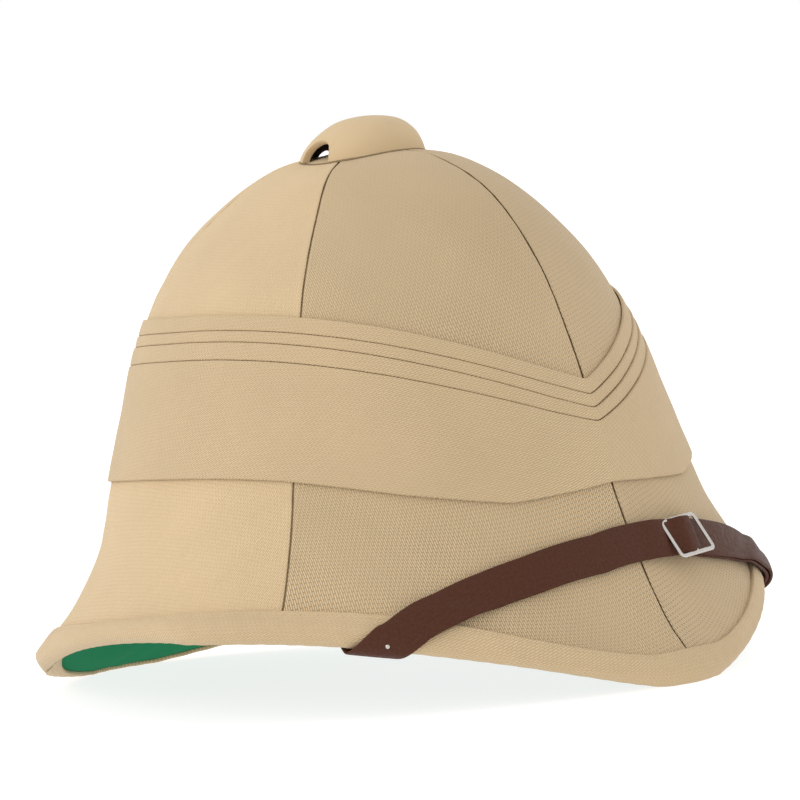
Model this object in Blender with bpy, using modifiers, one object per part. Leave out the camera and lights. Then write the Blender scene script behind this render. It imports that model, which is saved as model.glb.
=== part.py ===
"""Pith helmet: six cloth panels over a pith shell, a pleated puggaree, a vent button and a chin strap.

Metres. +X is the wearer's front, +Y the wearer's left and +Z up. The helmet stands on z = 0 on the
front and the back of its brim, and its length is centred on x = 0.

Every layer follows one surface, the cover's outer face, which runs through the rings of SECTIONS.
A place on it is a plan angle (0 at the front, positive towards the left) and a ring number, 0 at
the vent's rim and 10 at the brim's edge.
"""

from collections import namedtuple
from math import ceil, cos, hypot, pi, radians, sin

import bmesh
import bpy
from mathutils import Matrix, Vector

# Driving dimensions of the whole
LENGTH = 0.345
WIDTH = 0.283
CROWN_HEIGHT = 0.211

# Layers, from the outside in
COVER_THICKNESS = 0.0010
SHELL_THICKNESS = 0.0032
LINING_THICKNESS = 0.0009
LAYER_GAP = 0.0003
SEAM_GAP = 0.0006
SEAM_ANGLES = (0.0, 67.5, 133.0, 180.0)
PANEL_SEGMENTS = (8, 7, 5)

# Bound edge of the brim
BINDING_THICKNESS = 0.0010
BINDING_GAP = 0.0006
BINDING_WIDTH = 0.0125
REST_ANGLE = 9.5
REST_FLAT_DEPTH = 0.0003

# Cloth band
PUGGAREE_GAP = 0.0005
PUGGAREE_THICKNESS = 0.0011
PLEAT_STEP = 0.0005
PLEAT_SPLIT = 0.0004
POINT_HALF_ANGLE = 96.0

# Vent and its button
VENT_RADIUS = 0.012
VENT_X = 0.018
BUTTON_RADIUS = 0.0252
BUTTON_RISE = 0.0163
BUTTON_SKIRT = 0.006
BUTTON_WALL = 0.0022
ARCH_RADIUS = 0.0075
ARCH_ANGLES = (-97.0, 97.0, 180.0)
POST_RADIUS = 0.0028
BRIDGE_LENGTH = 0.034
BRIDGE_WIDTH = 0.008
BRIDGE_THICKNESS = 0.002

# Chin strap
STRAP_WIDTH = 0.0155
STRAP_THICKNESS = 0.0013
STRAP_GAP = 0.0012
STRAP_LAYER_GAP = 0.0005
STRAP_OVERRUN = 0.004
STRAP_RAMP = 0.008
TAIL_INNER_RUN = 0.022
TAIL_TIP_INSET = 0.0025
TAIL_RAMP = 0.014
TAIL_LEAD = 0.004
RIVET_RADIUS = 0.0040
RIVET_HEIGHT = 0.0012
RIVET_INSET = 0.008

# Slide of the strap
BUCKLE_LENGTH = 0.022
BUCKLE_HEIGHT = 0.020
BUCKLE_BAR = 0.0018
BUCKLE_THICKNESS = 0.0012
BUCKLE_ANGLE = 13.5

# Rings of the cover's outer face. Reaches, height and middle are shares: front, back and middle of
# LENGTH, half_width of WIDTH, and the three heights of CROWN_HEIGHT. fullness is the exponent of the
# plan's superellipse, and the dips say how fast the ring falls from its side to its two ends.
Section = namedtuple(
    "Section",
    "front back half_width front_height side_height back_height middle fullness front_dip back_dip",
)
SECTIONS = [
    Section(0.166, 0.066, 0.131, 0.980, 0.957, 0.976, 0.052, 2.03, 2.00, 2.00),
    Section(0.249, 0.169, 0.202, 0.907, 0.867, 0.879, 0.040, 2.07, 2.00, 2.00),
    Section(0.313, 0.212, 0.271, 0.778, 0.772, 0.766, 0.045, 2.10, 2.00, 2.00),
    Section(0.353, 0.237, 0.316, 0.630, 0.664, 0.639, 0.046, 2.13, 2.00, 2.00),
    Section(0.379, 0.248, 0.344, 0.492, 0.556, 0.525, 0.043, 2.17, 2.00, 2.00),
    Section(0.398, 0.260, 0.377, 0.360, 0.436, 0.405, 0.045, 2.20, 2.00, 2.00),
    Section(0.430, 0.300, 0.403, 0.222, 0.359, 0.218, 0.054, 2.06, 2.33, 1.96),
    Section(0.462, 0.364, 0.437, 0.117, 0.282, 0.108, 0.070, 1.93, 2.65, 1.93),
    Section(0.489, 0.445, 0.469, 0.060, 0.210, 0.046, 0.085, 1.79, 2.98, 1.89),
    Section(0.500, 0.483, 0.493, 0.031, 0.188, 0.038, 0.102, 1.65, 3.30, 1.85),
]
VENT_RIM_HEIGHT = 0.998
LAST_RING = 10
LAYER_ROWS = (0.0, 1.1, 2.2, 3.2, 4.2, 5.2, 6.1, 6.8, 7.6, 8.4)

# Puggaree lines: the ring that each follows round the back and sides, and how many rings it falls
# to the point over the front seam.
PleatLine = namedtuple("PleatLine", "ring fall")
PLEAT_LINES = [
    PleatLine(3.45, 1.10),
    PleatLine(3.70, 1.06),
    PleatLine(3.88, 1.06),
    PleatLine(4.17, 0.95),
]
# Lower edge of the puggaree: plan angle and ring
BAND_FOOT = [(0.0, 5.96), (12.0, 6.02), (24.0, 6.13), (46.0, 6.09), (70.0, 6.0), (180.0, 6.0)]

# Button's outline: share of its radius and share of its rise over the seat
BUTTON_PROFILE = [
    (0.00, 1.00), (0.33, 0.95), (0.54, 0.83), (0.76, 0.54), (0.91, 0.30), (1.00, 0.00),
]

# Route of the strap's middle from the peak to one inner end: plan angle, and the way from the brim's
# edge as a share of CROWN_HEIGHT, positive over the brim and negative under it.
STRAP_ROUTE = [
    (0.0, 0.265), (9.0, 0.256), (18.0, 0.226), (27.5, 0.174), (35.0, 0.125),
    (42.0, 0.071), (47.5, 0.020), (56.5, -0.085), (63.0, -0.160), (70.0, -0.250), (76.0, -0.340),
]

# Fineness of the facets
ANGLE_STEP = 0.6
RING_STEP = 0.05
SMOOTH_ANGLE = 35
BUTTON_STEPS = 20
ROUND_SIDES = 16
ROUTE_STEPS = 16
LONG_STEP = 0.013
BEND_STEP = 0.0036
WINDOW_STEP = 0.0021
STRAP_SHARES = (-1.0, -0.5, 0.0, 0.5, 1.0)

STACK = COVER_THICKNESS + SHELL_THICKNESS + LINING_THICKNESS + 2 * LAYER_GAP
BEND_RADIUS = STACK / 2 + BINDING_GAP + BINDING_THICKNESS


def section_rows():
    """Rings in metres, the vent's round rim first."""
    vent = (
        VENT_X + VENT_RADIUS, VENT_RADIUS - VENT_X, VENT_RADIUS,
        VENT_RIM_HEIGHT * CROWN_HEIGHT, VENT_RIM_HEIGHT * CROWN_HEIGHT, VENT_RIM_HEIGHT * CROWN_HEIGHT,
        VENT_X, 2.0, 2.0, 2.0,
    )
    rows = [vent]
    for part in SECTIONS:
        rows.append((
            part.front * LENGTH, part.back * LENGTH, part.half_width * WIDTH,
            part.front_height * CROWN_HEIGHT, part.side_height * CROWN_HEIGHT,
            part.back_height * CROWN_HEIGHT, part.middle * LENGTH,
            part.fullness, part.front_dip, part.back_dip,
        ))
    return rows


ROWS = section_rows()


def smooth_curve(a, b, c, d, t):
    """Catmull-Rom curve from b to c at a share of the way."""
    linear = (c - a) * t
    square = (2 * a - 5 * b + 4 * c - d) * t ** 2
    cube = (3 * b - a - 3 * c + d) * t ** 3
    return b + (linear + square + cube) / 2


def smooth_row(ring):
    """Row of the table at a ring number, on a smooth curve through the rings."""
    index = min(int(ring), LAST_RING - 1)
    t = ring - index
    values = []
    for column in range(len(ROWS[0])):
        b = ROWS[index][column]
        c = ROWS[index + 1][column]
        a = ROWS[index - 1][column] if index > 0 else 2 * b - c
        d = ROWS[index + 2][column] if index + 2 <= LAST_RING else 2 * c - b
        values.append(smooth_curve(a, b, c, d, t))
    return values


def raw_point(angle, ring):
    """Point of the cover's outer face before the whole is centred and set on the floor."""
    front, back, half_width, front_z, side_z, back_z, middle, fullness, front_dip, back_dip = smooth_row(ring)
    c = cos(radians(angle))
    s = sin(radians(angle))
    power = 2 / fullness
    reach = front - middle if c >= 0 else -(back + middle)
    end_z = front_z if c >= 0 else back_z
    dip = front_dip if c >= 0 else back_dip
    fall = min(1.0, abs(c) / cos(radians(REST_ANGLE))) ** dip
    side = half_width if s >= 0 else -half_width
    return Vector((middle + reach * abs(c) ** power, side * abs(s) ** power, side_z + (end_z - side_z) * fall))


def raw_frame(angle, ring):
    """Point, outward normal and downward direction along the cover."""
    above = raw_point(angle, max(ring - RING_STEP, 0.0))
    below = raw_point(angle, min(ring + RING_STEP, LAST_RING))
    down = (below - above).normalized()
    around = raw_point(angle + ANGLE_STEP, ring) - raw_point(angle - ANGLE_STEP, ring)
    normal = down.cross(around).normalized()
    return raw_point(angle, ring), normal, down


def settle_move():
    """Move that centres the length and sets the bound edge on the floor, pressed flat a little."""
    tips = []
    for angle in (0.0, 180.0):
        point, normal, down = raw_frame(angle, LAST_RING)
        tips.append(point - normal * (STACK / 2))
    centre = (tips[0].x + tips[1].x) / 2
    lowest = max(tips[0].z, tips[1].z) - BEND_RADIUS
    return Vector((-centre, 0.0, -lowest - REST_FLAT_DEPTH))


SETTLE = settle_move()
VENT_MIDDLE = VENT_X + SETTLE.x


def cover_frame(angle, ring):
    """Point, outward normal and downward direction of the cover's outer face."""
    point, normal, down = raw_frame(angle, ring)
    return point + SETTLE, normal, down


def layer_point(angle, ring, depth):
    """Point under the cover's outer face by a depth, or over it where the depth is negative."""
    point, normal, down = cover_frame(angle, ring)
    return point - normal * depth


def ring_at(angle, distance):
    """Ring number at a distance up the cover from the brim's edge."""
    ring = float(LAST_RING)
    here = raw_point(angle, ring)
    left = distance
    step = 2 * RING_STEP
    while ring > step:
        above = raw_point(angle, ring - step)
        run = (above - here).length
        if run >= left:
            return ring - step * left / run
        left -= run
        ring -= step
        here = above
    return ring


def smooth_step(value):
    """Ease from 0 to 1."""
    t = min(max(value, 0.0), 1.0)
    return t * t * (3 - 2 * t)


def binding_rise(run):
    """Height of what lies over the brim's layers at a distance from its edge, eased past the binding."""
    past = run - (BINDING_WIDTH - BEND_RADIUS) - STRAP_OVERRUN
    return (BINDING_GAP + BINDING_THICKNESS) * smooth_step(1 - past / STRAP_RAMP)


def edge_wrap_point(angle, run, level):
    """Point over the bound brim at a level above it.

    run is the way along the brim's section from the edge: positive up the outer face, and negative
    round the bend and on up the underside.
    """
    bend = pi * BEND_RADIUS
    if run >= 0:
        point, normal, down = cover_frame(angle, ring_at(angle, run))
        return point + normal * (binding_rise(run) + level)
    if run > -bend:
        point, normal, down = cover_frame(angle, LAST_RING)
        middle = point - normal * (STACK / 2)
        turn = -run / BEND_RADIUS
        return middle + (normal * cos(turn) + down * sin(turn)) * (BEND_RADIUS + level)
    inner_run = -run - bend
    point, normal, down = cover_frame(angle, ring_at(angle, inner_run))
    return point - normal * (STACK + binding_rise(inner_run) + level)


def start_scene():
    """Remove the scene's objects and make the two collections."""
    for item in list(bpy.data.objects):
        bpy.data.objects.remove(item, do_unlink=True)
    parts = bpy.data.collections.new("pith_helmet")
    cutters = bpy.data.collections.new("cutters")
    bpy.context.scene.collection.children.link(parts)
    bpy.context.scene.collection.children.link(cutters)
    return parts, cutters


PARTS, CUTTERS = start_scene()


def material(name, colour, roughness, metallic=0.0):
    """Principled material of one finish."""
    made = bpy.data.materials.new(name)
    made.use_nodes = True
    shader = made.node_tree.nodes["Principled BSDF"]
    shader.inputs["Base Color"].default_value = (*colour, 1.0)
    shader.inputs["Roughness"].default_value = roughness
    shader.inputs["Metallic"].default_value = metallic
    return made


def object_from_bmesh(name, shape, finish, collection=PARTS):
    """New object that holds the bmesh, shaded smooth except at its sharp edges."""
    mesh = bpy.data.meshes.new(name)
    shape.to_mesh(mesh)
    shape.free()
    mesh.shade_smooth()
    mesh.set_sharp_from_angle(angle=radians(SMOOTH_ANGLE))
    made = bpy.data.objects.new(name, mesh)
    collection.objects.link(made)
    if finish:
        mesh.materials.append(finish)
    return made


def rise_to_rear(first, second):
    """Negative where the higher end of a diagonal is the rear one."""
    return (first.co.z - second.co.z) * (first.co.x - second.co.x)


def add_grid(shape, rows, closed):
    """Triangles between rows of points, each row running round the helmet from front to left.

    Each four-sided cell is split on the diagonal that rises most to the rear, so the facets of
    neighbouring layers stay parallel on both sides of the helmet.
    """
    grid = [[shape.verts.new(point) for point in row] for row in rows]
    columns = len(rows[0])
    last = columns if closed else columns - 1
    for upper, lower in zip(grid, grid[1:]):
        for j in range(last):
            k = (j + 1) % columns
            if rise_to_rear(upper[j], lower[k]) < rise_to_rear(lower[j], upper[k]):
                shape.faces.new((upper[j], lower[j], lower[k]))
                shape.faces.new((upper[j], lower[k], upper[k]))
            else:
                shape.faces.new((upper[j], lower[j], upper[k]))
                shape.faces.new((upper[k], lower[j], lower[k]))
    return grid


def sheet(name, rows, closed, thickness, finish):
    """Open surface thickened inwards."""
    shape = bmesh.new()
    add_grid(shape, rows, closed)
    made = object_from_bmesh(name, shape, finish)
    wall = made.modifiers.new("thickness", "SOLIDIFY")
    wall.thickness = thickness
    wall.offset = -1.0
    return made


def ring_loft(name, profiles, finish):
    """Closed ring through a closed profile at each column of angles, front to left."""
    shape = bmesh.new()
    corners = len(profiles[0])
    rows = [[profile[k] for profile in profiles] for k in range(corners)]
    rows.append(rows[0])
    add_grid(shape, rows, closed=True)
    bmesh.ops.remove_doubles(shape, verts=shape.verts, dist=1e-7)
    bmesh.ops.recalc_face_normals(shape, faces=shape.faces)
    return object_from_bmesh(name, shape, finish)


def panel_angles(start, end, segments):
    """Plan angles of the columns between two seams."""
    return [start + (end - start) * step / segments for step in range(segments + 1)]


def all_angles():
    """Plan angles of the columns all the way round, each seam on one of them."""
    left = []
    for start, end, segments in zip(SEAM_ANGLES, SEAM_ANGLES[1:], PANEL_SEGMENTS):
        left += panel_angles(start, end, segments)[:-1]
    right = [-angle for angle in left[1:]]
    return left + [180.0] + right[::-1]


ANGLES = all_angles()


def binding_rings(angle):
    """Rings of the binding's free edge, of the middle of its leg and of the brim's edge."""
    free = ring_at(angle, BINDING_WIDTH - BEND_RADIUS)
    return free, (free + LAST_RING) / 2, float(LAST_RING)


def layer_rows(angles, depth):
    """Rows of points of a layer, the last three on the binding's own rings."""
    rows = [[layer_point(angle, ring, depth) for angle in angles] for ring in LAYER_ROWS]
    for index in range(3):
        rows.append([layer_point(angle, binding_rings(angle)[index], depth) for angle in angles])
    return rows


def full_sheet(name, depth, thickness, finish):
    """Layer that goes all the way round, from the vent to the brim's edge."""
    return sheet(name, layer_rows(ANGLES, depth), True, thickness, finish)


def cover_panel(name, start, end, segments, finish):
    """One cloth panel, which stops half a seam gap short of each seam."""
    angles = panel_angles(start, end, segments)
    rows = []
    for row in layer_rows(angles, 0.0):
        first = (row[1] - row[0]).normalized() * (SEAM_GAP / 2)
        last = (row[-2] - row[-1]).normalized() * (SEAM_GAP / 2)
        rows.append([row[0] + first] + row[1:-1] + [row[-1] + last])
    return sheet(name, rows, False, COVER_THICKNESS, finish)


def cover_panels(finish):
    """Six panels, three a side."""
    names = ("front", "side", "back")
    for place, start, end, segments in zip(names, SEAM_ANGLES, SEAM_ANGLES[1:], PANEL_SEGMENTS):
        cover_panel(f"cover_panel_{place}_left", start, end, segments, finish)
        cover_panel(f"cover_panel_{place}_right", -end, -start, segments, finish)


def binding_profile(angle):
    """Closed section of the folded strip that wraps the brim's edge."""
    point, normal, down = cover_frame(angle, LAST_RING)
    middle = point - normal * (STACK / 2)
    free, half_way, edge = binding_rings(angle)
    over = -BINDING_GAP - BINDING_THICKNESS
    under = STACK + BINDING_GAP + BINDING_THICKNESS

    def bend(radius, turns):
        """Points round the edge at a radius."""
        spokes = [normal * cos(radians(turn)) + down * sin(radians(turn)) for turn in turns]
        return [middle + spoke * radius for spoke in spokes]

    profile = [layer_point(angle, free, over), layer_point(angle, half_way, over)]
    profile += bend(BEND_RADIUS, (0, 45, 90, 135, 180))
    profile += [layer_point(angle, half_way, under), layer_point(angle, free, under)]
    profile += [layer_point(angle, free, under - BINDING_THICKNESS)]
    profile += [layer_point(angle, half_way, under - BINDING_THICKNESS)]
    profile += bend(BEND_RADIUS - BINDING_THICKNESS, (180, 120, 60, 0))
    profile += [layer_point(angle, half_way, -BINDING_GAP), layer_point(angle, free, -BINDING_GAP)]
    return [Vector((spot.x, spot.y, max(spot.z, 0.0))) for spot in profile]


def brim_binding(finish):
    """Strip round the whole edge, pressed flat where the helmet rests."""
    return ring_loft("brim_binding", [binding_profile(angle) for angle in ANGLES], finish)


def pleat_ring(line, angle):
    """Ring number of a pleat line, which falls to a point over the front seam."""
    share = max(0.0, 1 - abs(angle) / POINT_HALF_ANGLE)
    return line.ring + line.fall * share ** 2


def foot_ring(angle):
    """Ring number of the puggaree's lower edge."""
    turn = abs(angle)
    for (start, low), (end, high) in zip(BAND_FOOT, BAND_FOOT[1:]):
        if turn <= end:
            return low + (high - low) * (turn - start) / (end - start)
    return BAND_FOOT[-1][1]


def split_rings(angle, ring):
    """Rings just over and just under a pleat line, PLEAT_SPLIT apart."""
    run = (raw_point(angle, ring + RING_STEP) - raw_point(angle, ring - RING_STEP)).length
    half = RING_STEP * PLEAT_SPLIT / run
    return ring - half, ring + half


def pleat_profile(angle, upper, lower, step):
    """Section of a pleat: its top edge stands proud of the pleat above by a step."""
    top = split_rings(angle, pleat_ring(upper, angle))[1]
    bottom = split_rings(angle, pleat_ring(lower, angle))[0]
    inner = -PUGGAREE_GAP
    outer = inner - PUGGAREE_THICKNESS
    return [
        layer_point(angle, top, outer - step),
        layer_point(angle, bottom, outer),
        layer_point(angle, bottom, inner),
        layer_point(angle, top, inner),
    ]


def band_profile(angle):
    """Section of the wide band under the pleats."""
    top = split_rings(angle, pleat_ring(PLEAT_LINES[-1], angle))[1]
    foot = foot_ring(angle)
    stations = [top + (foot - top) * share for share in (0.0, 0.36, 0.7, 1.0)]
    inner = -PUGGAREE_GAP
    outer = inner - PUGGAREE_THICKNESS
    steps = (PLEAT_STEP, 0.4 * PLEAT_STEP, 0.0, 0.0)
    face = [layer_point(angle, ring, outer - step) for ring, step in zip(stations, steps)]
    back = [layer_point(angle, ring, inner) for ring in reversed(stations)]
    return face + back


def puggaree(finish):
    """Three narrow pleats over one wide band."""
    names = ("puggaree_fold_top", "puggaree_fold_middle", "puggaree_fold_low")
    for index, name in enumerate(names):
        step = 0.0 if index == 0 else PLEAT_STEP
        upper = PLEAT_LINES[index]
        lower = PLEAT_LINES[index + 1]
        ring_loft(name, [pleat_profile(angle, upper, lower, step) for angle in ANGLES], finish)
    ring_loft("puggaree_band", [band_profile(angle) for angle in ANGLES], finish)


def move_to(item, collection):
    """Put an object in one collection only."""
    for old in list(item.users_collection):
        old.objects.unlink(item)
    collection.objects.link(item)


def hide_cutter(cutter):
    """Keep a cutter out of the model."""
    cutter.hide_render = True
    cutter.display_type = "WIRE"


def cut(target, cutter, operation="DIFFERENCE"):
    """Boolean modifier with the exact solver."""
    knife = target.modifiers.new(cutter.name, "BOOLEAN")
    knife.operation = operation
    knife.solver = "EXACT"
    knife.object = cutter


def crown_seat_cutter():
    """Solid under the cover's top with LAYER_GAP over it, which shapes the button's foot."""
    shape = bmesh.new()
    rows = [[layer_point(angle, ring, -LAYER_GAP) for angle in ANGLES] for ring in LAYER_ROWS[:4]]
    floor = min(point.z for point in rows[-1]) - BUTTON_SKIRT
    rows.append([Vector((point.x, point.y, floor)) for point in rows[-1]])
    grid = add_grid(shape, rows, closed=True)
    shape.faces.new(grid[0])
    shape.faces.new(grid[-1])
    bmesh.ops.recalc_face_normals(shape, faces=shape.faces)
    cutter = object_from_bmesh("crown_seat_cutter", shape, None, CUTTERS)
    hide_cutter(cutter)
    return cutter


def seat_height():
    """Height of the button's seat: the cover's top face under the middle of its rim."""
    heights = []
    for angle in (0.0, 90.0, 180.0, -90.0):
        ring = 0.0
        spot = layer_point(angle, ring, 0.0)
        while hypot(spot.x - VENT_MIDDLE, spot.y) < BUTTON_RADIUS:
            ring += RING_STEP / 2
            spot = layer_point(angle, ring, 0.0)
        heights.append(spot.z)
    return sum(heights) / len(heights)


BUTTON_SEAT = seat_height()
BUTTON_TOP = BUTTON_SEAT + BUTTON_RISE


def arch_cutter(angle):
    """Round-topped opening through the button's wall, radial at a plan angle."""
    bpy.ops.mesh.primitive_cylinder_add(vertices=ROUND_SIDES, radius=ARCH_RADIUS, depth=BUTTON_RADIUS)
    cutter = bpy.context.object
    cutter.name = "vent_arch_cutter"
    direction = Vector((cos(radians(angle)), sin(radians(angle)), 0.0))
    cutter.rotation_mode = "QUATERNION"
    cutter.rotation_quaternion = direction.to_track_quat("Z", "Y")
    cutter.location = Vector((VENT_MIDDLE, 0.0, BUTTON_SEAT)) + direction * BUTTON_RADIUS
    move_to(cutter, CUTTERS)
    hide_cutter(cutter)
    return cutter


def vent_button(finish):
    """Domed hollow cap, turned, with its foot cut to the crown and three arches through its wall."""
    shape = bmesh.new()
    points = [(radius * BUTTON_RADIUS, rise * BUTTON_RISE) for radius, rise in BUTTON_PROFILE]
    points.append((BUTTON_RADIUS, -BUTTON_SKIRT))
    spots = [shape.verts.new((x, 0.0, z)) for x, z in points]
    for above, below in zip(spots, spots[1:]):
        shape.edges.new((above, below))
    button = object_from_bmesh("vent_button", shape, finish)
    button.location = (VENT_MIDDLE, 0.0, BUTTON_SEAT)
    turn = button.modifiers.new("turn", "SCREW")
    turn.steps = BUTTON_STEPS
    turn.render_steps = BUTTON_STEPS
    turn.use_merge_vertices = True
    turn.merge_threshold = 0.00001
    wall = button.modifiers.new("wall", "SOLIDIFY")
    wall.thickness = BUTTON_WALL
    wall.offset = -1.0
    cut(button, crown_seat_cutter())
    for angle in ARCH_ANGLES:
        cut(button, arch_cutter(angle))
    return button


def bridge_top():
    """Height at which the bridge meets the lining's flat facets beside the vent."""
    rim = layer_point(90.0, LAYER_ROWS[0], STACK)
    next_row = layer_point(90.0, LAYER_ROWS[1], STACK)
    share = (BRIDGE_LENGTH / 2 - rim.y) / (next_row.y - rim.y)
    return rim.z + (next_row.z - rim.z) * share - LAYER_GAP


def button_post(finish):
    """Stem through the vent with a bridge under the lining."""
    top = BUTTON_TOP - BUTTON_WALL - LAYER_GAP
    under = bridge_top()
    bpy.ops.mesh.primitive_cube_add(size=1.0)
    post = bpy.context.object
    post.name = "button_post"
    bridge = Matrix.Diagonal((BRIDGE_WIDTH, BRIDGE_LENGTH, BRIDGE_THICKNESS, 1.0))
    post.data.transform(bridge)
    post.location = (VENT_MIDDLE, 0.0, under - BRIDGE_THICKNESS / 2)
    foot = under - BRIDGE_THICKNESS / 2
    bpy.ops.mesh.primitive_cylinder_add(vertices=ROUND_SIDES, radius=POST_RADIUS, depth=top - foot)
    stem = bpy.context.object
    stem.name = "button_stem"
    stem.location = (VENT_MIDDLE, 0.0, (top + foot) / 2)
    move_to(post, PARTS)
    move_to(stem, CUTTERS)
    hide_cutter(stem)
    cut(post, stem, "UNION")
    post.data.materials.append(finish)
    return post


def half_route():
    """Middle line of the strap from the peak to its left end, as dense plan angles and runs."""
    points = [(angle, share * CROWN_HEIGHT) for angle, share in STRAP_ROUTE]
    mirrored = [(-points[1][0], points[1][1])] + points
    mirrored.append((2 * points[-1][0] - points[-2][0], 2 * points[-1][1] - points[-2][1]))
    dense = []
    for index in range(len(mirrored) - 3):
        a, b, c, d = mirrored[index:index + 4]
        for step in range(ROUTE_STEPS):
            t = step / ROUTE_STEPS
            dense.append(tuple(smooth_curve(a[k], b[k], c[k], d[k], t) for k in range(2)))
    dense.append(points[-1])
    return dense


def full_route():
    """Middle line from the right inner end over the peak to the left inner end, with lengths."""
    half = half_route()
    line = [(-angle, run) for angle, run in reversed(half[1:])] + half
    places = [edge_wrap_point(angle, run, STRAP_GAP) for angle, run in line]
    lengths = [0.0]
    for before, after in zip(places, places[1:]):
        lengths.append(lengths[-1] + (after - before).length)
    return line, lengths


ROUTE, ROUTE_LENGTHS = full_route()


def route_at(length):
    """Plan angle and run at a length along the strap."""
    for index in range(len(ROUTE) - 1):
        if length <= ROUTE_LENGTHS[index + 1]:
            break
    share = (length - ROUTE_LENGTHS[index]) / (ROUTE_LENGTHS[index + 1] - ROUTE_LENGTHS[index])
    angle = ROUTE[index][0] + (ROUTE[index + 1][0] - ROUTE[index][0]) * share
    run = ROUTE[index][1] + (ROUTE[index + 1][1] - ROUTE[index][1]) * share
    return angle, run


def length_at_angle(angle):
    """Length along the strap where its middle passes a plan angle."""
    for index in range(len(ROUTE) - 1):
        if ROUTE[index + 1][0] >= angle:
            break
    share = (angle - ROUTE[index][0]) / (ROUTE[index + 1][0] - ROUTE[index][0])
    return ROUTE_LENGTHS[index] + (ROUTE_LENGTHS[index + 1] - ROUTE_LENGTHS[index]) * share


def surface_steps(angle, run, level):
    """Movement over the helmet for each degree round it and for each metre of run."""
    turn = 0.1
    step = 0.0005
    by_angle = edge_wrap_point(angle + turn, run, level) - edge_wrap_point(angle - turn, run, level)
    by_run = edge_wrap_point(angle, run + step, level) - edge_wrap_point(angle, run - step, level)
    return by_angle / (2 * turn), by_run / (2 * step)


def strap_frame(length, level):
    """Point, way along, way across and outward normal of the strap's middle."""
    step = 0.0005
    end = ROUTE_LENGTHS[-1]
    place = edge_wrap_point(*route_at(length), level)
    ahead = edge_wrap_point(*route_at(min(length + step, end)), level)
    behind = edge_wrap_point(*route_at(max(length - step, 0.0)), level)
    along = (ahead - behind).normalized()
    by_angle, by_run = surface_steps(*route_at(length), level)
    normal = by_angle.cross(by_run).normalized()
    across = normal.cross(along).normalized()
    return place, along, across, normal


def strap_section(length, level):
    """Closed section of the strap: lower face from one edge to the other, then the upper face."""
    angle, run = route_at(length)
    across = strap_frame(length, level)[2]
    by_angle, by_run = surface_steps(angle, run, level)
    angle_square = by_angle.dot(by_angle)
    run_square = by_run.dot(by_run)
    mixed = by_angle.dot(by_run)
    scale = angle_square * run_square - mixed * mixed
    lower = []
    upper = []
    for share in STRAP_SHARES:
        offset = across * (share * STRAP_WIDTH / 2)
        on_angle = by_angle.dot(offset)
        on_run = by_run.dot(offset)
        side_angle = angle + (on_angle * run_square - on_run * mixed) / scale
        side_run = run + (on_run * angle_square - on_angle * mixed) / scale
        lower.append(edge_wrap_point(side_angle, side_run, level))
        upper.append(edge_wrap_point(side_angle, side_run, level + STRAP_THICKNESS))
    return lower + upper[::-1]


BUCKLE_AT = length_at_angle(BUCKLE_ANGLE)
BEND_AT = [index for index, (angle, run) in enumerate(ROUTE) if -pi * BEND_RADIUS < run < 0]
LEFT_BEND = [ROUTE_LENGTHS[index] for index in BEND_AT if ROUTE[index][0] > 0]
RIGHT_BEND = [ROUTE_LENGTHS[index] for index in BEND_AT if ROUTE[index][0] < 0]
TAIL_END = LEFT_BEND[-1] + TAIL_INNER_RUN
WINDOW = BUCKLE_LENGTH / 2 - BUCKLE_BAR
SECOND_LEVEL = STRAP_GAP + STRAP_THICKNESS + STRAP_LAYER_GAP
BUCKLE_LEVEL = SECOND_LEVEL + STRAP_THICKNESS + STRAP_LAYER_GAP
BULGE_LEVEL = BUCKLE_LEVEL + BUCKLE_THICKNESS + STRAP_LAYER_GAP


def strap_level(length):
    """Height of the strap's lower face over the helmet: on the cover, on the tail, over the bar."""
    place = length - BUCKLE_AT
    if place < -WINDOW:
        lift = smooth_step((place + WINDOW + TAIL_LEAD + TAIL_RAMP) / TAIL_RAMP)
        return STRAP_GAP + (SECOND_LEVEL - STRAP_GAP) * lift
    if place <= WINDOW:
        reach = WINDOW - STRAP_LAYER_GAP
        lift = smooth_step((reach - abs(place)) / (reach - BUCKLE_BAR))
        return SECOND_LEVEL + (BULGE_LEVEL - SECOND_LEVEL) * lift
    lift = 1 - smooth_step((length - TAIL_END) / TAIL_RAMP)
    return STRAP_GAP + (SECOND_LEVEL - STRAP_GAP) * lift


def strap_stations(start, end, buckle):
    """Lengths of the sections: close at the bends and at the buckle, wider elsewhere."""
    margin = 0.75 * STRAP_WIDTH
    stretches = [
        (RIGHT_BEND[0] - margin, LONG_STEP),
        (RIGHT_BEND[-1] + margin, BEND_STEP),
        (BUCKLE_AT - BUCKLE_LENGTH, LONG_STEP),
        (BUCKLE_AT - WINDOW, LONG_STEP / 2),
        (BUCKLE_AT + WINDOW, WINDOW_STEP if buckle else LONG_STEP),
        (BUCKLE_AT + BUCKLE_LENGTH, LONG_STEP / 2),
        (LEFT_BEND[0] - margin, LONG_STEP),
        (LEFT_BEND[-1] + margin, BEND_STEP),
        (TAIL_END, LONG_STEP),
        (end, LONG_STEP),
    ]
    stations = [start]
    for stop, step in stretches:
        stop = min(stop, end)
        if stop <= stations[-1]:
            continue
        count = ceil((stop - stations[-1]) / step)
        first = stations[-1]
        stations += [first + (stop - first) * (k + 1) / count for k in range(count)]
    return stations


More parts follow.
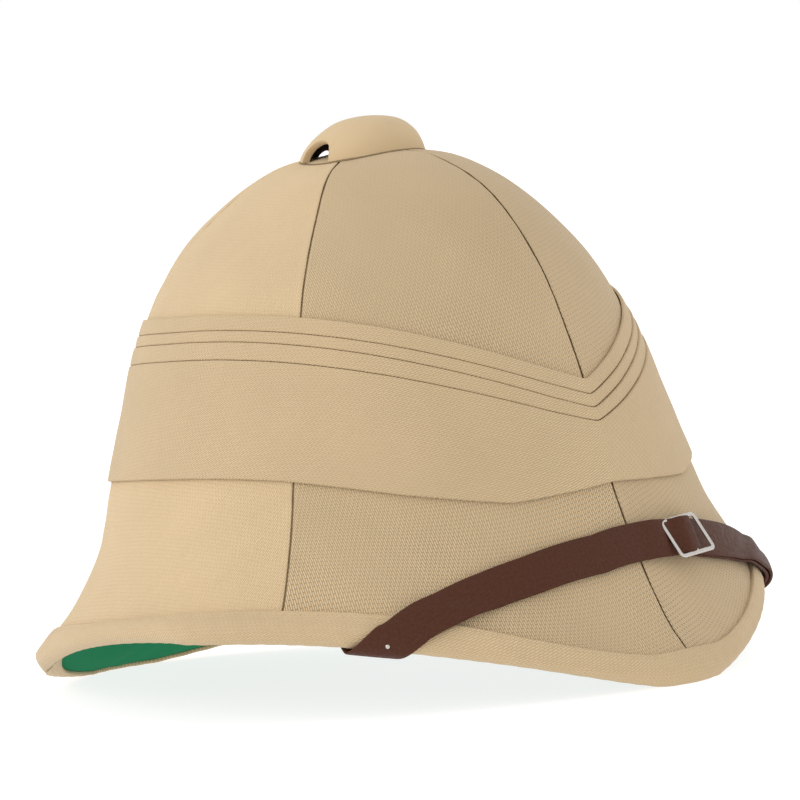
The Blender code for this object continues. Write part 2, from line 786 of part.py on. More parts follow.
def strap_solid(name, start, end, level, finish, buckle=False):
    """Strap between two lengths, as a closed loft."""
    shape = bmesh.new()
    rings = []
    for length in strap_stations(start, end, buckle):
        rings.append([shape.verts.new(spot) for spot in strap_section(length, level(length))])
    for before, after in zip(rings, rings[1:]):
        for j in range(len(before)):
            k = (j + 1) % len(before)
            shape.faces.new((before[j], before[k], after[k]))
            shape.faces.new((before[j], after[k], after[j]))
    shape.faces.new(rings[0])
    shape.faces.new(rings[-1])
    bmesh.ops.recalc_face_normals(shape, faces=shape.faces)
    bmesh.ops.triangulate(shape, faces=shape.faces)
    return object_from_bmesh(name, shape, finish)


def strap_rivet(name, length, finish):
    """Stud that holds an inner end of the strap."""
    level = STRAP_GAP + STRAP_THICKNESS + LAYER_GAP + RIVET_HEIGHT / 2
    place, along, across, normal = strap_frame(length, level)
    bpy.ops.mesh.primitive_cylinder_add(vertices=ROUND_SIDES, radius=RIVET_RADIUS, depth=RIVET_HEIGHT)
    rivet = bpy.context.object
    rivet.name = name
    rivet.rotation_mode = "QUATERNION"
    rivet.rotation_quaternion = normal.to_track_quat("Z", "Y")
    rivet.location = place
    move_to(rivet, PARTS)
    rivet.data.materials.append(finish)
    return rivet


def rectangle(curve, width, height, middle):
    """Closed flat outline on a 2D curve."""
    spline = curve.splines.new("POLY")
    spline.points.add(3)
    corners = ((-1, -1), (1, -1), (1, 1), (-1, 1))
    for point, (x, y) in zip(spline.points, corners):
        point.co = (middle + x * width / 2, y * height / 2, 0.0, 1.0)
    spline.use_cyclic_u = True


def strap_buckle(finish):
    """Flat slide with two windows and a middle bar, lying over the strap."""
    curve = bpy.data.curves.new("strap_buckle", "CURVE")
    curve.dimensions = "2D"
    curve.fill_mode = "BOTH"
    curve.extrude = BUCKLE_THICKNESS / 2
    rectangle(curve, BUCKLE_LENGTH, BUCKLE_HEIGHT, 0.0)
    window = (BUCKLE_LENGTH - 3 * BUCKLE_BAR) / 2
    for side in (-1, 1):
        rectangle(curve, window, BUCKLE_HEIGHT - 2 * BUCKLE_BAR, side * (window + BUCKLE_BAR) / 2)
    outline = bpy.data.objects.new("buckle_outline", curve)
    PARTS.objects.link(outline)
    bpy.context.view_layer.update()
    evaluated = outline.evaluated_get(bpy.context.evaluated_depsgraph_get())
    shape = bmesh.new()
    shape.from_mesh(bpy.data.meshes.new_from_object(evaluated))
    bpy.data.objects.remove(outline, do_unlink=True)
    bmesh.ops.remove_doubles(shape, verts=shape.verts, dist=1e-6)
    bmesh.ops.recalc_face_normals(shape, faces=shape.faces)
    place, along, across, normal = strap_frame(BUCKLE_AT, BUCKLE_LEVEL + BUCKLE_THICKNESS / 2)
    turn = Matrix((along, across, normal)).transposed().to_4x4()
    shape.transform(Matrix.Translation(place) @ turn)
    return object_from_bmesh("strap_buckle", shape, finish)


def chin_strap(leather, metal):
    """Whole strap over the peak, its second layer, the slide and the studs at its hidden ends."""
    total = ROUTE_LENGTHS[-1]
    strap_solid("chin_strap", 0.0, total, strap_level, leather, buckle=True)
    strap_solid("strap_tail", BUCKLE_AT + TAIL_TIP_INSET, TAIL_END, lambda length: STRAP_GAP, leather)
    strap_buckle(metal)
    strap_rivet("strap_rivet_right", RIVET_INSET, metal)
    strap_rivet("strap_rivet_left", total - RIVET_INSET, metal)


def build():
    """Whole helmet."""
    cotton = material("khaki_cotton", (0.62, 0.49, 0.30), 0.85)
    pith = material("pith", (0.72, 0.62, 0.45), 0.9)
    green = material("green_lining", (0.02, 0.18, 0.09), 0.8)
    leather = material("brown_leather", (0.07, 0.025, 0.018), 0.5)
    metal = material("nickel", (0.75, 0.74, 0.72), 0.25, 1.0)
    cover_panels(cotton)
    full_sheet("shell", COVER_THICKNESS + LAYER_GAP, SHELL_THICKNESS, pith)
    full_sheet("lining", STACK - LINING_THICKNESS, LINING_THICKNESS, green)
    brim_binding(cotton)
    puggaree(cotton)
    vent_button(cotton)
    button_post(metal)
    chin_strap(leather, metal)


build()
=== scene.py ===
"""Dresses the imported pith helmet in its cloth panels, pleated puggaree, bound brim and leather strap.

Metres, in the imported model's frame: +X is the wearer's front, +Y the wearer's left and +Z up. Every
layer follows one form, the cover's outer face, on which a place is a plan angle in degrees (0 at the
front, positive to the left) and a ring number from 0 at the vent's rim to 10 at the brim's edge.
"""

import logging
from dataclasses import astuple, dataclass, field
from enum import Enum
from math import asin, ceil, cos, degrees, pi, radians, sin
from typing import Callable, Iterable, Sequence

import bmesh
import bpy
import numpy as np
from mathutils import Matrix, Vector

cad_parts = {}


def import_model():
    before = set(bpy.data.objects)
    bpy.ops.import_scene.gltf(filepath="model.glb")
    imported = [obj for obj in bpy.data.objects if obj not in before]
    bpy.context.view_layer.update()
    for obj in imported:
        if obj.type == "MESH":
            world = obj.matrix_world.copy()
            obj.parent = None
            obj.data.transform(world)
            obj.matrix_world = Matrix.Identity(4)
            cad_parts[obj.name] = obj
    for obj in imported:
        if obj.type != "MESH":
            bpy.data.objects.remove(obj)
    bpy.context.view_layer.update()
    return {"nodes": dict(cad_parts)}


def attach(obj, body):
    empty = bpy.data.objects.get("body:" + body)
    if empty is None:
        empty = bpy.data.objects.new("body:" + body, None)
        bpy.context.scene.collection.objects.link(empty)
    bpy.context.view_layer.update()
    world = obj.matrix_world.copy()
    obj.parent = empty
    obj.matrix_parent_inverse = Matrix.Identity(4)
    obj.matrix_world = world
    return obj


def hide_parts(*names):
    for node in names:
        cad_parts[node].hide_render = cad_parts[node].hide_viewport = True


LOG = logging.getLogger("pith_helmet")
MM = 0.001
BODY = "root"
CLOTH_MAP = "cloth"
CLOTH_A_RING = 25 * MM
COTTON_COLOUR = (0.72, 0.527, 0.30)
SEAMS = (0.0, 67.5, 133.0, 180.0, -133.0, -67.5)

Array = np.ndarray
Colour = tuple[float, float, float]
Material = bpy.types.Material
Node = bpy.types.Node
Piece = bpy.types.Object
Socket = bpy.types.NodeSocket


class Slot(Enum):
    """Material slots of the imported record."""

    COTTON = "khaki_cotton"
    PITH = "pith"
    GREEN = "green_lining"
    LEATHER = "brown_leather"
    NICKEL = "nickel"


class Side(Enum):
    """The wearer's sides, by the sign of the plan angle."""

    RIGHT = -1
    LEFT = 1


def catmull(a: Array, b: Array, c: Array, d: Array, t: Array) -> Array:
    """Catmull-Rom curve from b to c.

    Args:
        a: Value before b.
        b: Value at the start.
        c: Value at the end.
        d: Value after c.
        t: Share of the way from b to c.

    Returns:
        The value on the curve.
    """
    linear = (c - a) * t
    square = (2 * a - 5 * b + 4 * c - d) * t ** 2
    cube = (3 * b - a - 3 * c + d) * t ** 3
    return b + (linear + square + cube) / 2


def curve(line: Sequence[Sequence[float]], steps: int) -> Array:
    """Smooth curve through a line's points.

    Args:
        line: Points; the first and the last only steer the curve.
        steps: Steps from point to point.

    Returns:
        Points of the curve, without its end.
    """
    points = np.array(line, float)
    t = (np.arange(steps) / steps)[:, None]
    return np.concatenate([catmull(*points[k:k + 4], t) for k in range(len(points) - 3)])


def ease(value: Array | float) -> Array | float:
    """Smooth step from 0 to 1, flat at both ends."""
    t = np.clip(value, 0.0, 1.0)
    return t * t * (3 - 2 * t)


def unit(vectors: Array) -> Array:
    """Vectors of length one along the last axis."""
    return vectors / np.linalg.norm(vectors, axis=-1, keepdims=True)


def running(steps: Array) -> Array:
    """Running total along the last axis, from zero."""
    return np.concatenate([np.zeros((*steps.shape[:-1], 1)), np.cumsum(steps, axis=-1)], axis=-1)


def travelled(points: Array) -> Array:
    """Lengths along lines of points, from zero."""
    return running(np.linalg.norm(np.diff(points, axis=-2), axis=-1))


def joined(grid: Array, axis: int) -> Array:
    """Grid with its first row or column again at its end."""
    return np.concatenate([grid, grid.take([0], axis)], axis)


def all_round(count: int) -> Array:
    """Even plan angles once round the helmet, from the back."""
    return np.linspace(-180.0, 180.0, count, endpoint=False)


def wrapped(angle: Array | float) -> Array | float:
    """Angle brought between -180 and 180 degrees."""
    return (angle + 180.0) % 360.0 - 180.0


def dimmed(colour: Colour, share: float) -> Colour:
    """Colour with its light reduced to a share."""
    return tuple(share * value for value in colour)


def relief(points: Array, wave: float, seed: float) -> Array:
    """Smooth repeatable unevenness from -1 to 1, from crossed waves.

    Args:
        points: Places in metres.
        wave: Typical length of a wave in metres.
        seed: Phase that tells one piece from another.

    Returns:
        The unevenness at each point.
    """
    x, y, z = np.moveaxis(points, -1, 0)
    turn = 2 * pi / wave
    total = np.sin(turn * (0.83 * x + 0.41 * y + 0.37 * z) + 1.3 * seed)
    total += np.sin(turn * 1.37 * (-0.35 * x + 0.79 * y + 0.51 * z) + 2.1 * seed + 1.0)
    total += np.sin(turn * 0.71 * (0.22 * x - 0.47 * y + 0.85 * z) + 0.7 * seed + 2.0)
    total += 0.6 * np.sin(turn * 2.13 * (0.62 * x + 0.68 * y - 0.39 * z) + 3.3 * seed + 4.0)
    return total / 3.6


@dataclass(frozen=True)
class Section:
    """One ring of the cover's outer face, in shares of the helmet's sizes.

    Reaches and middle are shares of the length, half_width of the width and the heights of the
    crown's height. fullness is the exponent of the plan's superellipse, and the dips say how fast
    the ring falls from its side to its two ends.
    """

    front: float
    back: float
    half_width: float
    front_height: float
    side_height: float
    back_height: float
    middle: float
    fullness: float
    front_dip: float
    back_dip: float


CROWN_SECTIONS = (
    Section(0.166, 0.066, 0.131, 0.980, 0.957, 0.976, 0.052, 2.03, 2.00, 2.00),
    Section(0.249, 0.169, 0.202, 0.907, 0.867, 0.879, 0.040, 2.07, 2.00, 2.00),
    Section(0.313, 0.212, 0.271, 0.778, 0.772, 0.766, 0.045, 2.10, 2.00, 2.00),
    Section(0.353, 0.237, 0.316, 0.630, 0.664, 0.639, 0.046, 2.13, 2.00, 2.00),
    Section(0.379, 0.248, 0.344, 0.492, 0.556, 0.525, 0.043, 2.17, 2.00, 2.00),
    Section(0.398, 0.260, 0.377, 0.360, 0.436, 0.405, 0.045, 2.20, 2.00, 2.00),
    Section(0.430, 0.300, 0.403, 0.222, 0.359, 0.218, 0.054, 2.06, 2.33, 1.96),
    Section(0.462, 0.364, 0.437, 0.117, 0.282, 0.108, 0.070, 1.93, 2.65, 1.93),
    Section(0.489, 0.445, 0.469, 0.060, 0.210, 0.046, 0.085, 1.79, 2.98, 1.89),
    Section(0.500, 0.483, 0.493, 0.031, 0.188, 0.038, 0.102, 1.65, 3.30, 1.85),
)


@dataclass
class HelmetForm:
    """The cover's outer face and the places of the layers under and over it."""

    length: float = 345 * MM
    width: float = 283 * MM
    crown_height: float = 211 * MM
    vent_radius: float = 12 * MM
    vent_x: float = 18 * MM
    vent_height: float = 0.998
    rest_angle: float = 9.5
    rest_depth: float = 0.3 * MM
    cover: float = 1.0 * MM
    shell: float = 3.2 * MM
    lining: float = 0.9 * MM
    layer_gap: float = 0.3 * MM
    binding: float = 1.0 * MM
    binding_gap: float = 0.6 * MM
    binding_width: float = 12.5 * MM
    last_ring: float = 10.0
    ring_step: float = 0.05
    angle_step: float = 0.6
    rows: Array = field(init=False, repr=False)
    settle: Array = field(init=False, repr=False)
    run_angles: Array = field(init=False, repr=False)
    run_rings: Array = field(init=False, repr=False)
    runs: Array = field(init=False, repr=False)

    def __post_init__(self) -> None:
        """Work out the rings in metres, the settling move and the table of runs up the cover."""
        long, wide, high = self.length, self.width, self.crown_height
        top = self.vent_height * high
        vent = [self.vent_x + self.vent_radius, self.vent_radius - self.vent_x, self.vent_radius,
                top, top, top, self.vent_x, 2.0, 2.0, 2.0]
        scales = (long, long, wide, high, high, high, long, 1.0, 1.0, 1.0)
        self.rows = np.vstack([vent, np.array([astuple(part) for part in CROWN_SECTIONS]) * scales])
        self.settle = np.zeros(3)
        point, normal, _ = self.frame(np.array([0.0, 180.0]), self.last_ring)
        tips = point - normal * self.stack / 2
        lowest = tips[:, 2].max() - self.bend_radius
        self.settle = np.array([-(tips[0, 0] + tips[1, 0]) / 2, 0.0, -lowest - self.rest_depth])
        self.run_angles = np.linspace(-181.0, 181.0, 725)
        self.run_rings = np.linspace(self.last_ring, 0.0, 201)
        self.runs = travelled(self.raw(self.run_angles[:, None], self.run_rings))

    @property
    def stack(self) -> float:
        """Thickness of cover, shell and lining with their gaps."""
        return self.cover + self.shell + self.lining + 2 * self.layer_gap

    @property
    def bend_radius(self) -> float:
        """Outer radius of the binding's turn round the brim's edge."""
        return self.stack / 2 + self.binding_gap + self.binding

    @property
    def vent_middle(self) -> float:
        """X of the vent's middle after settling."""
        return self.vent_x + self.settle[0]

    def raw(self, angles: Array | float, rings: Array | float) -> Array:
        """Points of the cover's outer face before settling.

        Args:
            angles: Plan angles in degrees.
            rings: Ring numbers.

        Returns:
            Points, with the shape of the inputs and a last axis of three.
        """
        angles, rings = np.broadcast_arrays(np.asarray(angles, float), np.asarray(rings, float))
        index = np.clip(rings.astype(int), 0, len(self.rows) - 2)
        padded = np.vstack([2 * self.rows[0] - self.rows[1], self.rows, 2 * self.rows[-1] - self.rows[-2]])
        value = catmull(*(padded[index + k] for k in range(4)), (rings - index)[..., None])
        (front, back, half, front_z, side_z, back_z, middle, fullness,
         front_dip, back_dip) = np.moveaxis(value, -1, 0)
        c = np.cos(np.radians(angles))
        s = np.sin(np.radians(angles))
        ahead = c >= 0
        reach = np.where(ahead, front - middle, -(back + middle))
        end_z = np.where(ahead, front_z, back_z)
        dip = np.where(ahead, front_dip, back_dip)
        fall = np.minimum(1.0, np.abs(c) / cos(radians(self.rest_angle))) ** dip
        x = middle + reach * np.abs(c) ** (2 / fullness)
        y = np.sign(s) * half * np.abs(s) ** (2 / fullness)
        return np.stack([x, y, side_z + (end_z - side_z) * fall], -1)

    def frame(self, angles: Array, rings: Array | float) -> tuple[Array, Array, Array]:
        """Points, outward normals and downward directions of the cover's outer face.

        Args:
            angles: Plan angles in degrees.
            rings: Ring numbers.

        Returns:
            Three arrays of vectors.
        """
        rings = np.asarray(rings, float)
        above = self.raw(angles, np.maximum(rings - self.ring_step, 0.0))
        below = self.raw(angles, np.minimum(rings + self.ring_step, self.last_ring))
        down = unit(below - above)
        around = self.raw(angles + self.angle_step, rings) - self.raw(angles - self.angle_step, rings)
        return self.raw(angles, rings) + self.settle, unit(np.cross(down, around)), down

    def layer(self, angles: Array, rings: Array, depth: Array) -> Array:
        """Points under the cover's outer face by a depth, or over it where the depth is negative."""
        point, normal, _ = self.frame(angles, rings)
        return point - normal * depth[..., None]

    def ring_at(self, angles: Array, runs: Array) -> Array:
        """Ring numbers at distances up the cover from the brim's edge.

        Args:
            angles: Plan angles in degrees.
            runs: Distances in metres, in the same shape.

        Returns:
            Ring numbers in that shape.
        """
        step = self.run_angles[1] - self.run_angles[0]
        place = (wrapped(angles.ravel()) - self.run_angles[0]) / step
        low = np.clip(place.astype(int), 0, len(self.run_angles) - 2)
        found = np.empty(len(low))
        for k, (column, run) in enumerate(zip(low, runs.ravel())):
            first, second = (np.interp(run, self.runs[column + n], self.run_rings) for n in (0, 1))
            found[k] = first + (second - first) * (place[k] - column)
        return found.reshape(angles.shape)

    def over_edge(self, angles: Array, runs: Array, levels: Array) -> Array:
        """Points over the brim's layers.

        Args:
            angles: Plan angles in degrees.
            runs: Way along the brim's section from its edge, positive up the outer face and
                negative round the bend and up the underside.
            levels: Heights over the layers.

        Returns:
            Points, with a last axis of three.
        """
        angles, runs, levels = np.broadcast_arrays(*(np.asarray(v, float) for v in (angles, runs, levels)))
        bend = pi * self.bend_radius
        over = self.layer(angles, self.ring_at(angles, np.maximum(runs, 0.0)), -levels)
        under = self.layer(angles, self.ring_at(angles, np.maximum(-runs - bend, 0.0)), self.stack + levels)
        edge, normal, down = self.frame(angles, self.last_ring)
        turn = np.clip(-runs / self.bend_radius, 0.0, pi)[..., None]
        spoke = normal * np.cos(turn) + down * np.sin(turn)
        bent = edge - normal * self.stack / 2 + spoke * (self.stack / 2 + levels)[..., None]
        flat = np.where((runs >= 0)[..., None], over, under)
        return np.where(((runs < 0) & (runs > -bend))[..., None], bent, flat)

    def over_binding(self, angles: Array, runs: Array, level: Array, overrun: float, ramp: float) -> Array:
        """Points over the bound brim, eased down to the cover past the binding.

        Args:
            angles: Plan angles in degrees.
            runs: Way along the brim's section, as over_edge takes it.
            level: Heights over what lies there.
            overrun: How far a strap stays raised past the binding.
            ramp: Length of its way down to the cover.

        Returns:
            Points, with a last axis of three.
        """
        inward = np.maximum(np.where(runs >= 0, runs, -runs - pi * self.bend_radius), 0.0)
        past = inward - (self.binding_width - self.bend_radius) - overrun
        rise = (self.binding_gap + self.binding) * ease(1 - past / ramp)
        return self.over_edge(angles, runs, rise + level)


def new_object(name: str, data: bpy.types.ID) -> Piece:
    """New object in the scene.

    Args:
        name: Name of the object.
        data: Its mesh, light or camera.

    Returns:
        The object.
    """
    made = bpy.data.objects.new(name, data)
    bpy.context.scene.collection.objects.link(made)
    return made


def grid_object(
    name: str, points: Array, uv: Array,
    wrap_rows: bool = False, wrap_columns: bool = False, capped: bool = False, sharp: float = 50.0,
) -> Piece:
    """Quad mesh over a grid of points, facing out where rows run down and columns run to the left.

    Args:
        name: Name of the piece.
        points: Rows by columns by three.
        uv: Cloth coordinates in metres, with one more row or column where that way is closed.
        wrap_rows: Whether the last row joins the first.
        wrap_columns: Whether the last column joins the first.
        capped: Whether the first and the last column are closed with a face.
        sharp: Angle in degrees over which an edge stays sharp.

    Returns:
        The new object.
    """
    rows, columns = points.shape[:2]
    last_row = rows if wrap_rows else rows - 1
    last_column = columns if wrap_columns else columns - 1
    i, j = np.meshgrid(np.arange(last_row), np.arange(last_column), indexing="ij")
    below = (i + 1) % rows * columns
    beside = (j + 1) % columns
    faces = np.stack([i * columns + j, below + j, below + beside, i * columns + beside], -1)
    faces = faces.reshape(-1, 4).tolist()
    corners = np.stack([uv[i, j], uv[i + 1, j], uv[i + 1, j + 1], uv[i, j + 1]], -2).reshape(-1, 2)
    if capped:
        every = np.arange(rows) * columns
        faces += [every[::-1].tolist(), (every + columns - 1).tolist()]
        corners = np.concatenate([corners, uv[:rows, 0][::-1], uv[:rows, -1]])
    mesh = bpy.data.meshes.new(name)
    mesh.from_pydata(points.reshape(-1, 3).tolist(), [], faces)
    layer = mesh.uv_layers.new(name=CLOTH_MAP)
    layer.data.foreach_set("uv", corners.reshape(-1).astype(np.float32))
    mesh.shade_smooth()
    mesh.set_sharp_from_angle(angle=radians(sharp))
    return new_object(name, mesh)


def tubes_object(name: str, tubes: Iterable[tuple[Array, bool]], sharp: float = 180.0) -> Piece:
    """Tubes as one mesh.

    Args:
        name: Name of the piece.
        tubes: Grids of sides by points by three, each with whether it runs back into itself.
        sharp: Angle in degrees over which an edge stays sharp.

    Returns:
        The new object, with end faces on the tubes that don't run back.
    """
    verts = []
    faces = []
    for grid, closed in tubes:
        index = len(verts) + np.arange(grid.shape[0] * grid.shape[1]).reshape(grid.shape[:2])
        beside = np.roll(index, -1, axis=0)
        quads = np.stack([index, beside, np.roll(beside, -1, axis=1), np.roll(index, -1, axis=1)], -1)
        if not closed:
            quads = quads[:, :-1]
            faces += [index[::-1, 0].tolist(), index[:, -1].tolist()]
        faces += quads.reshape(-1, 4).tolist()
        verts += grid.reshape(-1, 3).tolist()
    mesh = bpy.data.meshes.new(name)
    mesh.from_pydata(verts, [], faces)
    mesh.shade_smooth()
    mesh.set_sharp_from_angle(angle=radians(sharp))
    return new_object(name, mesh)


def flat_uv(rows: Array, columns: Array) -> Array:
    """Cloth coordinates of a grid from its column places and row places."""
    return np.stack(np.meshgrid(columns, rows), -1)


def thicken(piece: Piece, thickness: float) -> None:
    """Give an open sheet its wall, inwards from its face.

    Args:
        piece: The sheet.
        thickness: Its thickness.
    """
    wall = piece.modifiers.new("wall", "SOLIDIFY")
    wall.thickness = thickness
    wall.offset = -1.0


def weld(piece: Piece, distance: float) -> None:
    """Merge the points that lie closer than a distance.

    Args:
        piece: The piece.
        distance: The distance.
    """
    shape = bmesh.new()
    shape.from_mesh(piece.data)
    bmesh.ops.remove_doubles(shape, verts=shape.verts, dist=distance)
    shape.to_mesh(piece.data)
    shape.free()


def dress(piece: Piece, finish: Material, slot: Slot, *nodes: str) -> None:
    """Give a piece its finish and its body, and hide the CAD nodes that it stands for.

    Args:
        piece: The finished piece.
        finish: Its material.
        slot: The record's slot; not used.
        nodes: Names of the CAD nodes that it replaces.
    """
    piece.data.materials.clear()
    piece.data.materials.append(finish)
    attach(piece, BODY)
    if nodes:
        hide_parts(*nodes)
    LOG.info("%s: %d faces", piece.name, len(piece.data.polygons))


def declare_cloth(
    piece: Piece, points: Array, held: str = "stretched", rests_on: str = "pith_shell",
    wrap_rows: bool = False, wrap_columns: bool = False,
) -> None:
    """Join a cloth's grid to its first row or column where it closes round; nothing is done with the result.

    Args:
        piece: The cloth; not used.
        points: Its grid, before it was thickened.
        held: How it is held; not used.
        rests_on: Name of what it lies on; not used.
        wrap_rows: Whether the grid is a closed section, so that both faces are in it.
        wrap_columns: Whether the last column joins the first.
    """
    across = joined(points, 1) if wrap_columns else points
    down = joined(points, 0) if wrap_rows else points


class Surface:
    """A new Principled material, with short ways to fill its node tree."""

    def __init__(self, name: str, **inputs: float) -> None:
        """Make the material and set its shader's inputs.

        Args:
            name: Name of the material.
            inputs: Values of the shader's inputs, named with _ for a space.
        """
        self.material = bpy.data.materials.new(name)
        self.material.use_nodes = True
        self.tree = self.material.node_tree
        self.shader = self.tree.nodes["Principled BSDF"]
        self.fill(self.shader, {key.replace("_", " "): value for key, value in inputs.items()})

    def fill(self, node: Node, inputs: dict[str | int, Socket | float | tuple[float, ...]]) -> None:
        """Set a node's inputs, or link those that another node's output feeds.

        Args:
            node: The node.
            inputs: What each input gets, by its name or number.
        """
        for key, value in inputs.items():
            if isinstance(value, Socket):
                self.tree.links.new(value, node.inputs[key])
            else:
                node.inputs[key].default_value = value

    def node(self, kind: str, inputs: dict | None = None, **options: str | bool) -> Node:
        """New node.

        Args:
            kind: Its type, without the words that all shader nodes start with.
            inputs: What its inputs get.
            options: Its settings, which are made first.

        Returns:
            The node.
        """
        made = self.tree.nodes.new(f"ShaderNode{kind}")
        for option, value in options.items():
            setattr(made, option, value)
        self.fill(made, inputs or {})
        return made

    def cloth_map(self) -> Socket:
        """Cloth coordinates in metres."""
        return self.node("UVMap", uv_map=CLOTH_MAP).outputs["UV"]

    def object_place(self) -> Socket:
        """Place in the helmet's own frame."""
        return self.node("TexCoord").outputs["Object"]

    def noise(self, place: Socket, scale: float, detail: float) -> Socket:
        """Noise over a coordinate, as a value."""
        return self.node("TexNoise", {"Scale": scale, "Detail": detail, "Vector": place}).outputs["Fac"]

    def remap(
        self, value: Socket, low: float, high: float, start: float = 0.3, end: float = 0.7
    ) -> Socket:
        """Value spread from low to high, by default from the middle of a noise's range."""
        ends = {"From Min": start, "From Max": end, "To Min": low, "To Max": high, "Value": value}
        return self.node("MapRange", ends).outputs["Result"]

    def mixed(
        self, first: Socket | tuple, second: Socket | tuple, share: Socket | float, **options: str
    ) -> Socket:
        """Mix of two colours."""
        inputs = {"Factor": share, "A": first, "B": second}
        return self.node("Mix", inputs, data_type="RGBA", **options).outputs["Result"]

    def scaled(self, colour: Socket, amount: Socket) -> Socket:
        """Colour made lighter or darker by a value."""
        return self.node("VectorMath", {0: colour, "Scale": amount}, operation="SCALE").outputs["Vector"]

    def paint(self, colour: Colour, tone: Socket) -> None:
        """Give the shader a fixed colour, made lighter or darker by a value.

        Args:
            colour: The colour.
            tone: The value.
        """
        plain = self.node("RGB").outputs["Color"]
        plain.default_value = (*colour, 1.0)
        self.fill(self.shader, {"Base Color": self.scaled(plain, tone)})

    def bump(self, height: Socket, distance: float, strength: float, **options: bool) -> None:
        """Give the shader a bump from a value."""
        made = self.node("Bump", {"Strength": strength, "Distance": distance, "Height": height}, **options)
        self.fill(self.shader, {"Normal": made.outputs["Normal"]})


def grey(light: float) -> tuple[float, float, float, float]:
    """Opaque grey."""
    return (light, light, light, 1.0)


@dataclass(frozen=True)
class Twill:
    """Cotton drill: slanted ribs of short staggered floats, on cloth coordinates in metres."""

    name: str
    colour: Colour
    shade: float = 0.36
    lean: float = 12.0
    pitch: float = 0.94 * MM
    float_length: float = 3.2 * MM
    groove: float = 0.42
    other_float: float = 0.93
    height: float = 0.10 * MM
    roughness: float = 0.82
    sheen: float = 0.10
    sheen_roughness: float = 0.6
    specular: float = 0.5
    mottle: float = 0.035
    faintest: float = 0.45
    clear_below: float = 0.125
    faint_above: float = 0.195
    left_on_top: float = 0.2
    sway_scale: float = 90.0
    mottle_scale: float = 22.0
    wear_scale: float = 14.0

    def make(self) -> Material:
        """Build the material.

        Returns:
            A Principled material with the ribs in colour and bump.
        """
        surface = Surface(
            self.name, Roughness=self.roughness, Sheen_Weight=self.sheen,
            Sheen_Roughness=self.sheen_roughness, Specular_IOR_Level=self.specular)
        cloth = surface.cloth_map()
        sway = surface.remap(surface.noise(cloth, self.sway_scale, 2.0), -self.pitch / 4, self.pitch / 4)
        shifted = surface.node("VectorMath", {0: cloth, 1: sway}, operation="ADD").outputs["Vector"]
        slant = {"Rotation": (0.0, 0.0, radians(90.0 - self.lean)), "Vector": shifted}
        ribs = surface.node("TexBrick", {
            "Color1": grey(1.0), "Color2": grey(self.other_float), "Mortar": grey(self.shade),
            "Scale": 1.0, "Mortar Size": self.groove * self.pitch, "Mortar Smooth": 1.0,
            "Brick Width": self.float_length, "Row Height": self.pitch,
            "Vector": surface.node("Mapping", slant, vector_type="POINT").outputs["Vector"]}).outputs
        areas = surface.remap(surface.noise(cloth, self.wear_scale, 1.0), self.faintest, 1.0)
        height = surface.node("SeparateXYZ", {"Vector": surface.object_place()}).outputs["Z"]
        rubbed = surface.remap(height, 1.0, self.left_on_top, self.clear_below, self.faint_above)
        kept = surface.node("Math", {0: areas, 1: rubbed}, operation="MULTIPLY").outputs["Value"]
        worn = surface.mixed(grey((1.0 + self.shade) / 2), ribs["Color"], kept)
        tinted = surface.mixed(worn, (*self.colour, 1.0), 1.0, blend_type="MULTIPLY")
        patches = surface.noise(cloth, self.mottle_scale, 3.0)
        tone = surface.remap(patches, 1.0 - self.mottle, 1.0 + self.mottle)
        surface.fill(surface.shader, {"Base Color": surface.scaled(tinted, tone)})
        surface.bump(ribs["Fac"], self.height, 1.0, invert=True)
        return surface.material


@dataclass(frozen=True)
class Leather:
    """Soft dark leather with a fine pebbled grain and slightly rubbed high spots."""

    name: str
    colour: Colour
    rubbed: Colour
    grain: float = 1100.0
    crease_scale: float = 420.0
    rub_scale: float = 900.0
    softness: float = 0.6
    crease_share: float = 0.6
    height: float = 0.22 * MM
    roughness: float = 0.50
    specular: float = 0.14

    def make(self) -> Material:
        """Build the material.

        Returns:
            A Principled material with the grain in colour, roughness and bump.
        """
        surface = Surface(self.name, Roughness=self.roughness, Specular_IOR_Level=self.specular)
        cloth = surface.cloth_map()
        pebbles = {"Scale": self.grain, "Smoothness": self.softness, "Vector": cloth}
        cells = surface.node("TexVoronoi", pebbles, feature="SMOOTH_F1").outputs["Distance"]
        creases = surface.noise(cloth, self.crease_scale, 4.0)
        rub = surface.remap(surface.noise(cloth, self.rub_scale, 4.0), -0.1, 0.6)
        surface.fill(surface.shader, {
            "Base Color": surface.mixed((*self.colour, 1.0), (*self.rubbed, 1.0), rub),
            "Roughness": surface.remap(creases, self.roughness - 0.08, self.roughness + 0.10)})
        grain = {0: creases, 1: self.crease_share, 2: cells}
        height = surface.node("Math", grain, operation="MULTIPLY_ADD").outputs["Value"]
        surface.bump(height, self.height, 0.7)
        return surface.material


@dataclass(frozen=True)
class PolishedMetal:
    """Plated metal with faint rub marks."""

    name: str
    colour: Colour
    roughness: float = 0.22
    mark_scale: float = 900.0

    def make(self) -> Material:
        """Build the material.

        Returns:
            A metallic Principled material.
        """
        surface = Surface(self.name, Roughness=self.roughness, Metallic=1.0)
        marks = surface.noise(surface.object_place(), self.mark_scale, 3.0)
        shine = surface.remap(marks, self.roughness - 0.06, self.roughness + 0.14)
        surface.fill(surface.shader, {"Roughness": shine})
        surface.paint(self.colour, surface.remap(marks, 0.86, 1.0))
        return surface.material


